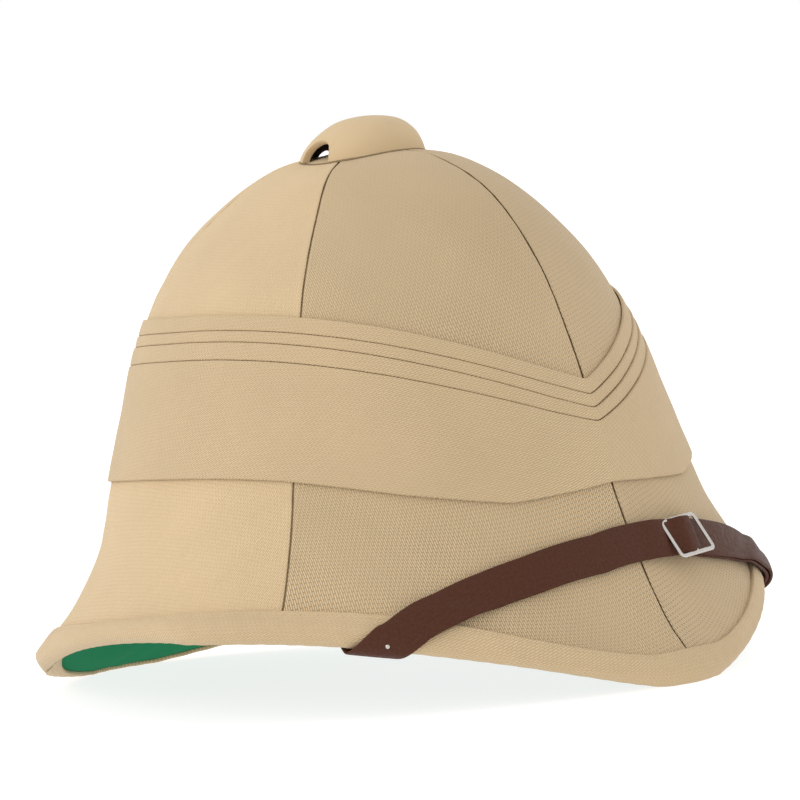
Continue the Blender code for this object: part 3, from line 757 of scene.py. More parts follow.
@dataclass(frozen=True)
class Grainy:
    """Plain matt material with a fine uneven surface, such as pith, thread or a painted floor."""

    name: str
    colour: Colour
    scale: float = 500.0
    spread: float = 0.08
    height: float = 0.05 * MM
    roughness: float = 0.9

    def make(self) -> Material:
        """Build the material.

        Returns:
            A Principled material with noise in colour and bump.
        """
        surface = Surface(self.name, Roughness=self.roughness)
        marks = surface.noise(surface.object_place(), self.scale, 4.0)
        surface.paint(self.colour, surface.remap(marks, 1.0 - self.spread, 1.0 + self.spread))
        surface.bump(marks, self.height, 0.5)
        return surface.material


@dataclass(frozen=True)
class Gore:
    """A mirrored pair of panels: the seams at its sides and how its twill lies."""

    name: str
    start: float
    end: float
    lean: float
    shade: float
    pitch: float


@dataclass
class CoverPanels:
    """Six cloth gores over the shell, their edges rolled down into the seams."""

    form: HelmetForm
    gores: tuple[Gore, ...] = (
        Gore("front", 0.0, 67.5, 12.0, 0.36, 0.94 * MM),
        Gore("side", 67.5, 133.0, -5.0, 0.66, 0.80 * MM),
        Gore("back", 133.0, 180.0, 8.0, 0.66, 0.80 * MM),
    )
    row_count: int = 150
    column_step: float = 2.6 * MM
    widest: float = 130 * MM
    edge_places: tuple[float, ...] = (0.10, 0.25, 0.45, 0.70, 1.00, 1.40, 1.90, 2.60, 3.60, 5.00)
    full_edge_width: float = 30 * MM
    roll_depth: float = 0.55 * MM
    roll_width: float = 0.7 * MM
    seam_half_gap: float = 0.26 * MM
    # Dark strip under each seam, painted shade of the seam's groove: its half width, depth, bow and wall.
    shade_strip_half_width: float = 1.1 * MM
    shade_strip_depth: float = 0.75 * MM
    shade_strip_bow: float = 0.10 * MM
    shade_strip_wall: float = 0.15 * MM
    ridge: float = 0.14 * MM
    ridge_place: float = 1.7 * MM
    ridge_width: float = 0.9 * MM
    pucker: float = 0.07 * MM
    pucker_wave: float = 11 * MM
    pucker_reach: float = 7 * MM
    relief_height: float = 0.14 * MM
    relief_wave: float = 38 * MM
    straight_seam: float = 133.0
    straight_above: float = 3.45

    def seam_line(self, seam: float, rings: Array) -> Array:
        """Plan angles of a seam, straight as seen from above on the back of the crown.

        Args:
            seam: Plan angle of the seam on the brim.
            rings: Ring numbers.

        Returns:
            The seam's plan angle at each ring.
        """
        line = np.full(len(rings), seam)
        if abs(seam) != self.straight_seam:
            return line
        near = seam + np.linspace(-30.0, 30.0, 601)
        foot = self.form.raw(seam, self.straight_above)
        bearing = np.arctan2(foot[1], foot[0] - self.form.vent_x)
        for k in np.flatnonzero(rings < self.straight_above):
            spots = self.form.raw(near, rings[k])
            line[k] = np.interp(bearing, np.arctan2(spots[:, 1], spots[:, 0] - self.form.vent_x), near)
        return line

    def column_places(self, width: float) -> Array:
        """Distances of the columns from a panel's first seam, close together at both edges.

        Args:
            width: Width of the panel at this row.

        Returns:
            As many distances for every width.
        """
        edge = self.seam_half_gap + np.array(self.edge_places) * MM * min(1.0, width / self.full_edge_width)
        middle = np.linspace(edge[-1], width - edge[-1], ceil(self.widest / self.column_step))[1:-1]
        return np.concatenate([edge, middle, (width - edge)[::-1]])

    def panel(self, name: str, start: float, end: float) -> Piece:
        """One gore between two seams.

        Args:
            name: Name of the piece.
            start: Plan angle of its first seam.
            end: Plan angle of its second seam.

        Returns:
            The gore, thickened.
        """
        rings = np.linspace(0.0, self.form.last_ring, self.row_count)
        first = self.seam_line(start, rings)[:, None]
        dense = first + (self.seam_line(end, rings)[:, None] - first) * np.linspace(0.0, 1.0, 181)
        lengths = travelled(self.form.raw(dense, rings[:, None]))
        drop = travelled(self.form.raw((start + end) / 2, rings))
        places = np.array([self.column_places(row[-1]) for row in lengths])
        angles = np.array([np.interp(*row) for row in zip(places, lengths, dense)])
        widths = lengths[:, -1:]
        seam = np.minimum(places, widths - places)
        depth = self.roll_depth * (1 - ease(seam / self.roll_width))
        depth -= self.ridge * np.exp(-((seam - self.ridge_place) / self.ridge_width) ** 2)
        phase = 2 * pi * drop[:, None] / self.pucker_wave + start
        depth += self.pucker * np.sin(phase + 3 * np.sin(phase / 5.3)) * np.exp(-seam / self.pucker_reach)
        point, normal, _ = self.form.frame(angles, rings[:, None])
        depth += self.relief_height * relief(point, self.relief_wave, start)
        uv = np.stack([places - widths / 2, np.broadcast_to(-drop[:, None], places.shape)], -1)
        spots = point - normal * depth[..., None]
        made = grid_object(name, spots, uv)
        declare_cloth(made, spots)
        thicken(made, self.form.cover)
        return made

    def seam_shade_strip(self, finish: Material) -> None:
        """Narrow dark strip under each seam, painted shade that shows as a dark line between the rolled
        edges.

        Args:
            finish: Its material.
        """
        rings = np.linspace(0.0, self.form.last_ring, 2 * self.row_count)
        places = np.linspace(-1.0, 1.0, 5) * self.shade_strip_half_width
        depth = self.shade_strip_depth + self.shade_strip_bow * (places / self.shade_strip_half_width) ** 2
        for seam in SEAMS:
            path = self.seam_line(seam, rings)
            beside = self.form.raw(path + 1.0, rings) - self.form.raw(path - 1.0, rings)
            degree = np.linalg.norm(beside, axis=-1) / 2.0
            points = self.form.layer(path[:, None] + places / degree[:, None], rings[:, None], depth)
            side = "front" if seam == 0 else "back" if seam == 180 else "right" if seam < 0 else "left"
            # Each strip is painted shade along one seam.
            name = f"seam_tape_{side}_{abs(int(seam)):03d}"
            made = grid_object(name, points, flat_uv(rings * CLOTH_A_RING, places))
            thicken(made, self.shade_strip_wall)
            dress(made, finish, Slot.COTTON)

    def build(self) -> None:
        """Make and dress the six gores and the dark strips of painted shade under their seams."""
        # Dark brown strip colour: painted shade in the seams.
        self.seam_shade_strip(Grainy("seam_shade_strip", (0.32, 0.23, 0.12), scale=1500.0).make())
        for gore in self.gores:
            finish = Twill(f"twill_{gore.name}", COTTON_COLOUR, gore.shade, gore.lean, gore.pitch).make()
            for side in Side:
                ends = (gore.start, gore.end) if side is Side.LEFT else (-gore.end, -gore.start)
                node = f"cover_panel_{gore.name}_{side.name.lower()}"
                dress(self.panel(f"{node}_cloth", *ends), finish, Slot.COTTON, node)


@dataclass
class InnerLayers:
    """The pith shell between the cloths and the green lining with its gores."""

    form: HelmetForm
    columns: int = 144
    row_count: int = 72
    welt: float = 0.5 * MM
    welt_width: float = 1.6
    shell_inset: float = 0.1 * MM

    def layer(self, name: str, depth: float, thickness: float, raised: float) -> Piece:
        """One closed layer all the way round.

        Args:
            name: Name of the piece.
            depth: Depth of its outer face under the cover's outer face.
            thickness: Its wall.
            raised: How far a welt stands towards the head at each gore seam.

        Returns:
            The layer.
        """
        angles = all_round(self.columns)
        rings = np.linspace(0.0, self.form.last_ring, self.row_count)
        turn = np.abs(wrapped(angles[:, None] - np.array(SEAMS))).min(axis=1)
        depths = depth + raised * np.exp(-(turn / self.welt_width) ** 2)
        points = self.form.layer(angles, rings[:, None], depths)
        around = np.linspace(0.0, 2 * pi * 0.11, self.columns + 1)
        made = grid_object(name, points, flat_uv(rings * CLOTH_A_RING, around), wrap_columns=True)
        if raised:
            declare_cloth(made, points, wrap_columns=True)
        thicken(made, thickness)
        return made

    def build(self) -> None:
        """Make and dress the shell and the lining."""
        form = self.form
        pith = Grainy("pith_board", (0.62, 0.52, 0.36), scale=300.0, height=0.2 * MM).make()
        depth = form.cover + form.layer_gap + self.shell_inset
        shell = self.layer("pith_shell", depth, form.shell - 2 * self.shell_inset, 0.0)
        dress(shell, pith, Slot.PITH, "shell")
        green = Twill(
            "green_cotton", (0.012, 0.215, 0.090), shade=0.75, lean=45.0, pitch=0.7 * MM,
            float_length=1.4 * MM, height=0.05 * MM, roughness=0.9, sheen=0.0, specular=0.08).make()
        lining = self.layer("green_lining_cloth", form.stack - form.lining, form.lining, self.welt)
        dress(lining, green, Slot.GREEN, "lining")


@dataclass
class BrimBinding:
    """Folded strip round the brim's edge, with a row of stitches near its free edge."""

    form: HelmetForm
    columns: int = 560
    crown: float = 0.18 * MM
    pucker: float = 0.08 * MM
    pucker_wave: float = 9 * MM
    edge_round: float = 0.55 * MM
    lift: float = 0.08 * MM
    stitch_inset: float = 1.9 * MM
    stitch_length: float = 2.5 * MM
    stitch_pitch: float = 3.3 * MM
    thread: float = 0.17 * MM
    thread_sides: int = 6
    thread_tip: float = 0.35

    @property
    def leg(self) -> float:
        """Length of a flat leg of the strip, from the brim's edge to its free edge."""
        return self.form.binding_width - self.form.bend_radius

    def outline(self) -> tuple[Array, Array]:
        """Closed section of the strip.

        Returns:
            Runs along the brim's section and levels over the brim's layers, from the outer free
            edge over the outer face to the inner free edge and back along the inside.
        """
        leg = self.leg
        soft = self.edge_round
        top = self.form.binding_gap + self.form.binding
        bend = pi * self.form.bend_radius
        outer = [(leg, self.lift), (leg + 0.1 * MM, top * 0.35), (leg, top * 0.7),
                 (leg - 0.3 * soft, top * 0.9), (leg - soft, top)]
        outer += [(leg * share, top + self.crown * sin(pi * share)) for share in np.linspace(0.85, 0.0, 9)]
        turns = [(-bend * share, top) for share in np.linspace(0.1, 0.9, 9)]
        inner = [(-bend - run, level) for run, level in reversed(outer)]
        back = [*np.linspace(-bend - leg * 0.8, -bend, 4), *(-bend * share for share in (0.8, 0.6, 0.4, 0.2)),
                *np.linspace(0.0, leg * 0.8, 4)]
        runs, levels = np.array(outer + turns + inner + [(run, self.lift) for run in back]).T
        return runs, levels

    def place(self, angles: Array, runs: Array | float, levels: Array | float) -> Array:
        """Points at levels over the brim's layers, none of them under the floor.

        Args:
            angles: Plan angles in degrees.
            runs: Way along the brim's section.
            levels: Heights over the layers.

        Returns:
            Points, with a last axis of three.
        """
        points = self.form.over_edge(angles, runs, levels)
        points[..., 2] = np.maximum(points[..., 2], 0.0)
        return points

    def strip(self) -> Piece:
        """The folded strip itself, softly puckered on the bias.

        Returns:
            The strip.
        """
        angles = all_round(self.columns)
        runs, levels = self.outline()
        along = travelled(self.form.raw(np.append(angles, 180.0), self.form.last_ring))
        waves = round(along[-1] / self.pucker_wave)
        phase = 2 * pi * waves * along[:-1] / along[-1] + 2 * pi * runs[:, None] / (1.6 * self.pucker_wave)
        proud = np.where(levels > 2 * self.lift, self.pucker, 0.0)[:, None]
        proud = proud * np.sin(phase + 1.5 * np.sin(phase / 7))
        points = self.place(angles, runs[:, None], levels[:, None] + proud)
        closed = {"wrap_rows": True, "wrap_columns": True}
        made = grid_object("brim_binding_cloth", points, flat_uv(np.append(runs, runs[0]), along), **closed)
        declare_cloth(made, points, "folded", **closed)
        return made

    def stitches(self) -> Piece:
        """Row of short threads, half sunk in the cloth, each narrower at its ends.

        Returns:
            The threads, as one piece.
        """
        dense = np.linspace(-180.0, 180.0, 2161)
        run = self.leg - self.stitch_inset
        level = self.form.binding_gap + self.form.binding + self.crown * 0.5
        along = travelled(self.place(dense, run, level))
        count = round(along[-1] / self.stitch_pitch)
        starts = np.arange(count) * along[-1] / count
        shares = np.linspace(0.0, 1.0, 5)
        spots = np.interp((starts[:, None] + shares * self.stitch_length) % along[-1], along, dense)
        dip = -1.2 * self.thread * (2 * np.abs(shares - 0.5)) ** 3
        lines = self.place(spots, run, level + dip)
        ahead = unit(np.gradient(lines, axis=1))
        across = unit(np.cross(ahead, unit(lines - np.array([0.02, 0.0, 0.05]))))
        upward = np.cross(across, ahead)
        swell = self.thread * np.array([self.thread_tip, 1.0, 1.0, 1.0, self.thread_tip])[:, None]
        turns = [2 * pi * side / self.thread_sides for side in range(self.thread_sides)]
        tubes = np.stack([lines + swell * (across * cos(turn) + upward * sin(turn)) for turn in turns], 1)
        return tubes_object("binding_stitches", [(tube, False) for tube in tubes])

    def build(self, finish: Material, thread: Material) -> None:
        """Make and dress the strip and its stitches."""
        dress(self.strip(), finish, Slot.COTTON, "brim_binding")
        dress(self.stitches(), thread, Slot.COTTON)


@dataclass(frozen=True)
class PleatLine:
    """One line of the puggaree: its ring round the back and sides, and its fall to the front point."""

    ring: float
    fall: float


@dataclass
class Puggaree:
    """Wrapped band of cloth: three narrow folds over one wide band, all meeting at a front point."""

    form: HelmetForm
    lines: tuple[PleatLine, ...] = (
        PleatLine(3.45, 1.10), PleatLine(3.70, 1.06), PleatLine(3.88, 1.06), PleatLine(4.17, 0.95))
    foot: tuple[tuple[float, float], ...] = (
        (0.0, 5.96), (12.0, 6.02), (24.0, 6.13), (46.0, 6.09), (70.0, 6.0), (180.0, 6.0))
    point_half_angle: float = 96.0
    left_half_angle: float = 74.0
    point_round: float = 0.5
    gap: float = 0.5 * MM
    thickness: float = 1.1 * MM
    step: float = 0.5 * MM
    split: float = 0.2 * MM
    sag: float = 0.10 * MM
    hem: float = 0.12 * MM
    columns: int = 540
    slack: float = 0.22 * MM
    slack_wave: float = 34 * MM

    def line_ring(self, line: PleatLine, angles: Array) -> Array:
        """Ring numbers of a pleat line, softly rounded at its point.

        Args:
            line: The pleat line.
            angles: Plan angles in degrees.

        Returns:
            Ring numbers at the angles.
        """
        half = np.where(angles > 0, self.left_half_angle, self.point_half_angle)
        share = np.maximum(0.0, 1 - np.hypot(angles, self.point_round) / half)
        return line.ring + line.fall * share ** 2

    def metres_a_ring(self, angles: Array, rings: Array) -> Array:
        """Length down the cover for one ring at each place.

        Args:
            angles: Plan angles in degrees.
            rings: Ring numbers.

        Returns:
            Metres for one ring.
        """
        step = self.form.ring_step
        span = self.form.raw(angles, rings + step) - self.form.raw(angles, rings - step)
        return np.linalg.norm(span, axis=-1) / (2 * step)

    def fold(
        self, name: str, top: Array, bottom: Array, proud: float, rows: int, hem: float, seed: float
    ) -> Piece:
        """One fold of cloth with a rounded top edge, closed behind.

        Args:
            name: Name of the piece.
            top: Ring numbers of its top edge.
            bottom: Ring numbers of its bottom edge.
            proud: How far its top edge stands over the fold above.
            rows: Rows between its edges.
            hem: Extra thickness at its bottom edge.
            seed: Phase of its unevenness.

        Returns:
            The fold.
        """
        angles = all_round(self.columns)
        scale = self.metres_a_ring(angles, (top + bottom) / 2)
        span = (bottom - top) * scale
        outer = self.gap + self.thickness
        to_left = ease((angles + 4.0) / 8.0)
        lifted = proud * (0.45 + 0.55 * to_left) * (1 - ease((np.abs(angles) - 40.0) / 90.0) * 0.2)
        split = self.split * (0.5 + 0.5 * to_left)
        high = outer + lifted
        low = outer + hem
        near = ((0.0, self.gap), (0.0, self.gap + 0.4 * (high - self.gap)), (0.10 * MM, high - 0.28 * MM),
                (0.32 * MM, high - 0.06 * MM), (0.60 * MM, high))
        far = ((-0.55 * MM, low), (-0.22 * MM, low - 0.07 * MM), (-0.04 * MM, low - 0.30 * MM),
               (0.0, self.gap))
        outline = [(place + split, level) for place, level in near]
        for share in np.linspace(0.0, 1.0, rows + 2)[1:-1]:
            sag = (1 - share) ** 1.5 * lifted + self.sag * sin(pi * share)
            rise = hem * ease((share - 0.80) / 0.08)
            outline.append((0.9 * MM + (span - 1.8 * MM) * share, outer + sag + rise))
        outline += [(span + place - split, level) for place, level in far]
        outline += [(split + (span - 2 * split) * share, self.gap) for share in (0.8, 0.5, 0.2)]
        distance = np.array([place for place, _ in outline])
        level = np.array([np.full(angles.shape, height) for _, height in outline])
        point, normal, _ = self.form.frame(angles, top + distance / scale)
        loose = relief(point, self.slack_wave, seed)
        fine = relief(point, 0.35 * self.slack_wave, seed + 5)
        level += np.where(level > self.gap + 0.1 * MM, self.slack * (0.7 * loose + 0.3 * fine), 0.0)
        along = travelled(self.form.raw(np.append(angles, 180.0), joined((top + bottom) / 2, 0)))
        along -= along[len(angles) // 2]
        uv = np.stack(np.broadcast_arrays(along, -joined(joined(distance, 0), 1)), -1)
        spots = point + normal * level[..., None]
        closed = {"wrap_rows": True, "wrap_columns": True}
        made = grid_object(name, spots, uv, **closed)
        if hem:
            declare_cloth(made, spots, rests_on="cover_panel_side_right_cloth", **closed)
        return made

    def build(self, finish: Material) -> None:
        """Make and dress the folds and the band.

        Args:
            finish: Their material.
        """
        angles = all_round(self.columns)
        rings = [self.line_ring(line, angles) for line in self.lines]
        for index, place in enumerate(("top", "middle", "low")):
            proud = self.step if index else 0.0
            node = f"puggaree_fold_{place}"
            made = self.fold(f"{node}_cloth", rings[index], rings[index + 1], proud, 5, 0.0, 11.0 + index)
            dress(made, finish, Slot.COTTON, node)
        foot = np.interp(np.abs(angles), *zip(*self.foot))
        band = self.fold("puggaree_band_cloth", rings[-1], foot, self.step, 34, self.hem, 17.0)
        dress(band, finish, Slot.COTTON, "puggaree_band")


@dataclass
class VentButton:
    """Domed hollow cap over the vent, with three arches through its wall."""

    form: HelmetForm
    radius: float = 25.2 * MM
    rise: float = 16.3 * MM
    wall: float = 3.0 * MM
    arch_angles: tuple[float, ...] = (-97.0, 97.0, 180.0)
    arch_radii: tuple[float, ...] = (8.3 * MM, 8.3 * MM, 5.0 * MM)
    outline: tuple[tuple[float, float], ...] = (
        (0.0, 1.0), (0.32, 0.955), (0.55, 0.84), (0.76, 0.61), (0.91, 0.34), (1.0, 0.0))
    forward: float = 4.0 * MM
    foot_gap: float = 0.35 * MM
    rim_round: float = 0.7 * MM
    plain_step: float = 2.5
    arch_columns: int = 22
    # Section of the dark strip round the foot, painted shade under the rim: insets and heights.
    foot_shade_section: tuple[tuple[float, float], ...] = (
        (-1.4 * MM, 1.0 * MM), (-0.3 * MM, 0.6 * MM), (0.08 * MM, 0.34 * MM), (0.16 * MM, 0.05 * MM))

    def cover_height(self, turn: float, radius: float) -> float:
        """Height of the cover at a place round the vent.

        Args:
            turn: Plan angle of the place in radians.
            radius: Distance from the vent's middle.

        Returns:
            The height in metres.
        """
        points, _, _ = self.form.frame(np.full(241, degrees(turn)), np.linspace(0.0, 3.0, 241))
        away = np.hypot(points[:, 0] - self.form.vent_middle, points[:, 1])
        return float(np.interp(radius, away, points[:, 2]))

    def dome(self, seat: float) -> tuple[Array, Array]:
        """Smooth outline of the dome.

        Args:
            seat: Height of the button's seat.

        Returns:
            Radii and heights from the top to the rim.
        """
        line = [(-self.outline[1][0], self.outline[1][1]), *self.outline, (1.02, -0.45)]
        radii, heights = np.vstack([curve(line, 12), self.outline[-1]]).T
        return radii * self.radius, seat + heights * self.rise

    def nearest_arch(self, turn: float) -> tuple[float, float, float]:
        """Nearest arch to a plan angle.

        Args:
            turn: The plan angle.

        Returns:
            Degrees to the arch's middle, its radius, and half the angle that it takes up.
        """
        away = np.abs(wrapped(turn - np.array(self.arch_angles)))
        nearest = int(np.argmin(away))
        size = self.arch_radii[nearest]
        return float(away[nearest]), size, degrees(asin(size / self.radius))

    def column_turns(self) -> Array:
        """Plan angles of the wall's columns, close together at the arches' edges.

        Returns:
            The sorted angles.
        """
        turns = []
        for middle, size in zip(self.arch_angles, self.arch_radii):
            half = degrees(asin(size / self.radius))
            phases = np.linspace(-90.0, 90.0, self.arch_columns)
            turns += [middle + degrees(asin(size * sin(radians(p)) / self.radius)) for p in phases]
            turns += [middle - half - 0.8, middle + half + 0.8]
        for plain in np.arange(-180.0, 180.0, self.plain_step):
            away, _, half = self.nearest_arch(plain)
            if away > half + 2.0:
                turns.append(plain)
        return np.sort(wrapped(np.array(turns)))

    def column(self, turn: float, seat: float, radii: Array, heights: Array) -> tuple[Array, Array, Array]:
        """Outer face of the wall in one column, down to an arch or to the crown.

        Args:
            turn: Plan angle of the column.
            seat: Height of the button's seat.
            radii: Radii of the dome's outline.
            heights: Heights of the dome's outline.

        Returns:
            Radii, heights and lengths along the face, from the top down.
        """
        lengths = running(np.hypot(np.diff(radii), np.diff(heights)))
        away, size, _ = self.nearest_arch(turn)
        within = (radii * sin(radians(min(away, 90.0))) / size) ** 2
        arch = seat + size * np.sqrt(np.maximum(0.0, 1 - within))
        open_wall = (heights < arch) & (within < 0.999) & (away < 60.0)
        if open_wall.any():
            first = int(np.argmax(open_wall))
            over = heights[first - 1] - arch[first - 1]
            under = arch[first] - heights[first]
            step = lengths[first] - lengths[first - 1]
            end = lengths[first - 1] + step * over / max(over + under, 1e-9)
        else:
            foot = min(self.cover_height(radians(turn), self.radius) + self.foot_gap, seat)
            end = lengths[-1] + (seat - foot)
        reach = end * np.concatenate([np.linspace(0.0, 0.9, 30), np.linspace(0.93, 1.0, 6)])
        below = np.maximum(reach - lengths[-1], 0.0)
        return np.interp(reach, lengths, radii), np.interp(reach, lengths, heights) - below, reach

    def section(self, radii: Array, heights: Array, reach: Array, turn: float) -> Array:
        """Closed section of the wall in one column, from the top outside to the top inside.

        Args:
            radii: Radii of the outer face.
            heights: Heights of the outer face.
            reach: Lengths along the outer face.
            turn: Plan angle of the column.

        Returns:
            Points of the section.
        """
        slope_r = np.gradient(radii, reach)
        slope_z = np.gradient(heights, reach)
        size = np.hypot(slope_r, slope_z)
        out = np.stack([-slope_z / size, slope_r / size])
        out[:, 0] = (0.0, 1.0)
        share = (reach - reach[-1] + self.rim_round).clip(0) / self.rim_round
        depth = self.rim_round * (1 - np.sqrt(np.clip(1 - share ** 2, 0, 1)))
        face = np.stack([radii, heights])
        inner = face - out * (self.wall - depth)
        inner[0] = np.maximum(inner[0], 0.0)
        r, z = np.concatenate([face - out * depth, inner[:, ::-1]], axis=1)
        lean = self.forward * ease((z - heights[0] + self.rise) / self.rise)
        x = self.form.vent_middle + r * cos(radians(turn)) + lean
        return np.stack([x, r * sin(radians(turn)), z], -1)

    def build(self, finish: Material, foot_shade: Material, inside: Material) -> None:
        """Make and dress the button.

        Args:
            finish: Material of its outer face.
            foot_shade: Material of the dark strip at its foot, painted shade under the rim.
            inside: Material of its hollow, dark as painted shade.
        """
        seat = sum(self.cover_height(radians(angle), self.radius) for angle in (0.0, 90.0, 180.0, 270.0)) / 4
        turns = self.column_turns()
        dome = self.dome(seat)
        points = np.stack([self.section(*self.column(turn, seat, *dome), turn) for turn in turns], 1)
        rows = len(points)
        around = np.radians(np.append(turns, turns[0] + 360.0)) * self.radius
        uv = flat_uv(np.append(np.arange(rows), rows - 1) * 0.8 * MM, around)
        made = grid_object("vent_button_cap", points, uv, wrap_columns=True)
        # Inner faces get the dark hollow material: painted shade inside the button.
        hidden = np.arange(len(made.data.polygons)) // len(turns) >= rows // 2 + 2
        dress(made, finish, Slot.COTTON, "vent_button")
        made.data.materials.append(inside)
        made.data.polygons.foreach_set("material_index", hidden.astype(np.int32))
        weld(made, 1e-6)
        self.foot_shade_strip(foot_shade)

    def foot_shade_strip(self, finish: Material) -> None:
        """Dark strip round the button's foot, painted shade that shows as a shadow line on the crown.

        Args:
            finish: Its material.
        """
        turns = all_round(144)
        arches = [self.nearest_arch(turn) for turn in turns]
        clear = np.clip(np.array([away - half for away, _, half in arches]) / 3.0, 0.15, 1.0)
        rows = []
        for inset, level in self.foot_shade_section:
            radius = self.radius + inset
            heights = np.array([self.cover_height(radians(turn), radius) for turn in turns]) + level * clear
            x = self.form.vent_middle + radius * np.cos(np.radians(turns))
            rows.append(np.stack([x, radius * np.sin(np.radians(turns)), heights], -1))
        around = np.linspace(0.0, 2 * pi * self.radius, len(turns) + 1)
        uv = flat_uv(np.arange(4.0) * MM, around)
        made = grid_object("button_foot_shade_strip", np.array(rows), uv, wrap_columns=True)
        thicken(made, 0.12 * MM)
        dress(made, finish, Slot.COTTON)


@dataclass
class ChinStrap:
    """Leather strap over the peak and round the brim, with its second layer, slide and studs."""

    form: HelmetForm
    width: float = 15.5 * MM
    thickness: float = 1.3 * MM
    crowning: float = 0.10 * MM
    gap: float = 1.2 * MM
    layer_gap: float = 0.5 * MM
    overrun: float = 4 * MM
    ramp: float = 8 * MM
    tail_inner_run: float = 22 * MM
    tail_tip_inset: float = 2.5 * MM
    tail_ramp: float = 14 * MM
    tail_lead: float = 4 * MM
    buckle_length: float = 22 * MM
    buckle_height: float = 17.6 * MM
    buckle_corner: float = 1.6 * MM
    buckle_drop: float = -0.2 * MM
    buckle_turn: float = 4.0
    buckle_tilt: float = 11.0
    buckle_lift: float = 6.0
    lift_share: float = 0.6
    waist: float = 0.93
    buckle_bar: float = 1.8 * MM
    buckle_thickness: float = 1.2 * MM
    buckle_angle: float = 12.1
    rod_sides: int = 14
    rivet_radius: float = 4.0 * MM
    rivet_height: float = 1.2 * MM
    rivet_inset: float = 8 * MM
    rivet_gap: float = 0.25 * MM
    stud_radius: float = 0.9 * MM
    stud_height: float = 0.7 * MM
    stud_gap: float = 0.08 * MM
    stud_run: float = -3.6 * MM
    stud_outline: tuple[tuple[float, float], ...] = (
        (0.0, 1.0), (0.35, 0.97), (0.65, 0.84), (0.86, 0.62), (0.97, 0.36), (1.0, 0.14),
        (0.97, 0.0), (0.0, 0.0))
    station: float = 1.3 * MM
    soft_stations: int = 7
    march_steps: int = 8
    route: tuple[tuple[float, float], ...] = (
        (0.0, 0.258), (9.0, 0.250), (18.0, 0.220), (27.5, 0.167), (35.0, 0.118), (42.0, 0.067),
        (47.5, 0.020), (56.5, -0.085), (63.0, -0.160), (70.0, -0.250), (76.0, -0.340))
    angles: Array = field(init=False, repr=False)
    runs: Array = field(init=False, repr=False)
    lengths: Array = field(init=False, repr=False)

    def __post_init__(self) -> None:
        """Lay the route out and measure it."""
        points = np.array(self.route) * (1.0, self.form.crown_height)
        half = np.vstack([curve([points[1] * (-1, 1), *points, 2 * points[-1] - points[-2]], 16), points[-1]])
        self.angles, self.runs = np.vstack([half[:0:-1] * (-1, 1), half]).T
        self.lengths = travelled(self.on_brim(self.angles, self.runs, self.gap))

    def on_brim(self, angles: Array, runs: Array, level: Array | float) -> Array:
        """Points over the bound brim."""
        return self.form.over_binding(angles, runs, level, self.overrun, self.ramp)

    def route_at(self, lengths: Array) -> tuple[Array, Array]:
        """Plan angles and runs of the strap's middle at lengths along it."""
        return np.interp(lengths, self.lengths, self.angles), np.interp(lengths, self.lengths, self.runs)

    @property
    def total(self) -> float:
        """Length of the whole strap."""
        return float(self.lengths[-1])

    @property
    def buckle_at(self) -> float:
        """Length at which the slide's bar lies."""
        return float(np.interp(self.buckle_angle, self.angles, self.lengths))

    @property
    def tail_end(self) -> float:
        """Length at which the second layer ends, inside the brim."""
        bend = (self.runs < 0) & (self.runs > -pi * self.form.bend_radius) & (self.angles > 0)
        return float(self.lengths[bend][-1]) + self.tail_inner_run

    @property
    def window(self) -> float:
        """Half of the slide's length inside its end bars."""
        return self.buckle_length / 2 - self.buckle_bar

    @property
    def second_level(self) -> float:
        """Height of the strap where it lies on its second layer."""
        return self.gap + self.thickness + self.layer_gap

    @property
    def buckle_level(self) -> float:
        """Height of the slide's lower face."""
        return self.second_level + self.thickness + self.layer_gap

    def level(self, lengths: Array) -> Array:
        """Height of the strap's lower face: on the cover, on its second layer, over the slide's bar.

        Args:
            lengths: Lengths along the strap.

        Returns:
            Heights over the helmet.
        """
        place = lengths - self.buckle_at
        step = self.second_level - self.gap
        start = self.window + self.tail_lead + self.tail_ramp
        before = self.gap + step * ease((place + start) / self.tail_ramp)
        reach = self.window - self.layer_gap
        bulge = self.buckle_level + self.buckle_thickness + self.layer_gap - self.second_level
        inside = self.second_level + bulge * ease((reach - np.abs(place)) / (reach - self.buckle_bar))
        after = self.gap + step * (1 - ease((lengths - self.tail_end) / self.tail_ramp))
        return np.where(place < -self.window, before, np.where(place <= self.window, inside, after))

    def slopes(
        self, angle: Array, run: Array, level: Array | float, step: float
    ) -> tuple[Array, Array, Array]:
        """Directions over the bound brim.

        Args:
            angle: Plan angles.
            run: Runs.
            level: Heights over the helmet.
            step: Step of run over which they are measured.

        Returns:
            The movements for a degree and for a metre of run, and the outward normal.
        """
        turn = 0.1
        moves = ((turn, 0.0), (-turn, 0.0), (0.0, step), (0.0, -step))
        left, right, up, down = (self.on_brim(angle + a, run + r, level) for a, r in moves)
        by_angle = (left - right) / (2 * turn)
        by_run = (up - down) / (2 * step)
        return by_angle, by_run, unit(np.cross(by_angle, by_run))

    def place(self, lengths: Array, level: Array | float) -> tuple[Array, Array, Array, Array]:
        """Frame of the strap's middle.

        Args:
            lengths: Lengths along the strap.
            level: Heights over the helmet.

        Returns:
            Points, ways along, ways across and outward normals.
        """
        step = 0.5 * MM
        ends = [np.clip(lengths + way, 0.0, self.total) for way in (step, -step)]
        spot, ahead, behind = (self.on_brim(*self.route_at(at), level) for at in (lengths, *ends))
        along = unit(ahead - behind)
        normal = self.slopes(*self.route_at(lengths), level, step)[2]
        return spot, along, unit(np.cross(normal, along)), normal

    def seat(self, length: float, level: float, way: float = 0.0) -> Matrix:
        """Frame in which a fitting sits on the strap, with X along it and Z outward.

        Args:
            length: Length along the strap.
            level: Height over the helmet.
            way: How far it lies across the strap.

        Returns:
            The frame.
        """
        spot, along, across, normal = (value[0] for value in self.place(np.array([length]), level))
        axes = Matrix((along, across, normal)).transposed().to_4x4()
        return Matrix.Translation(spot + across * way) @ axes

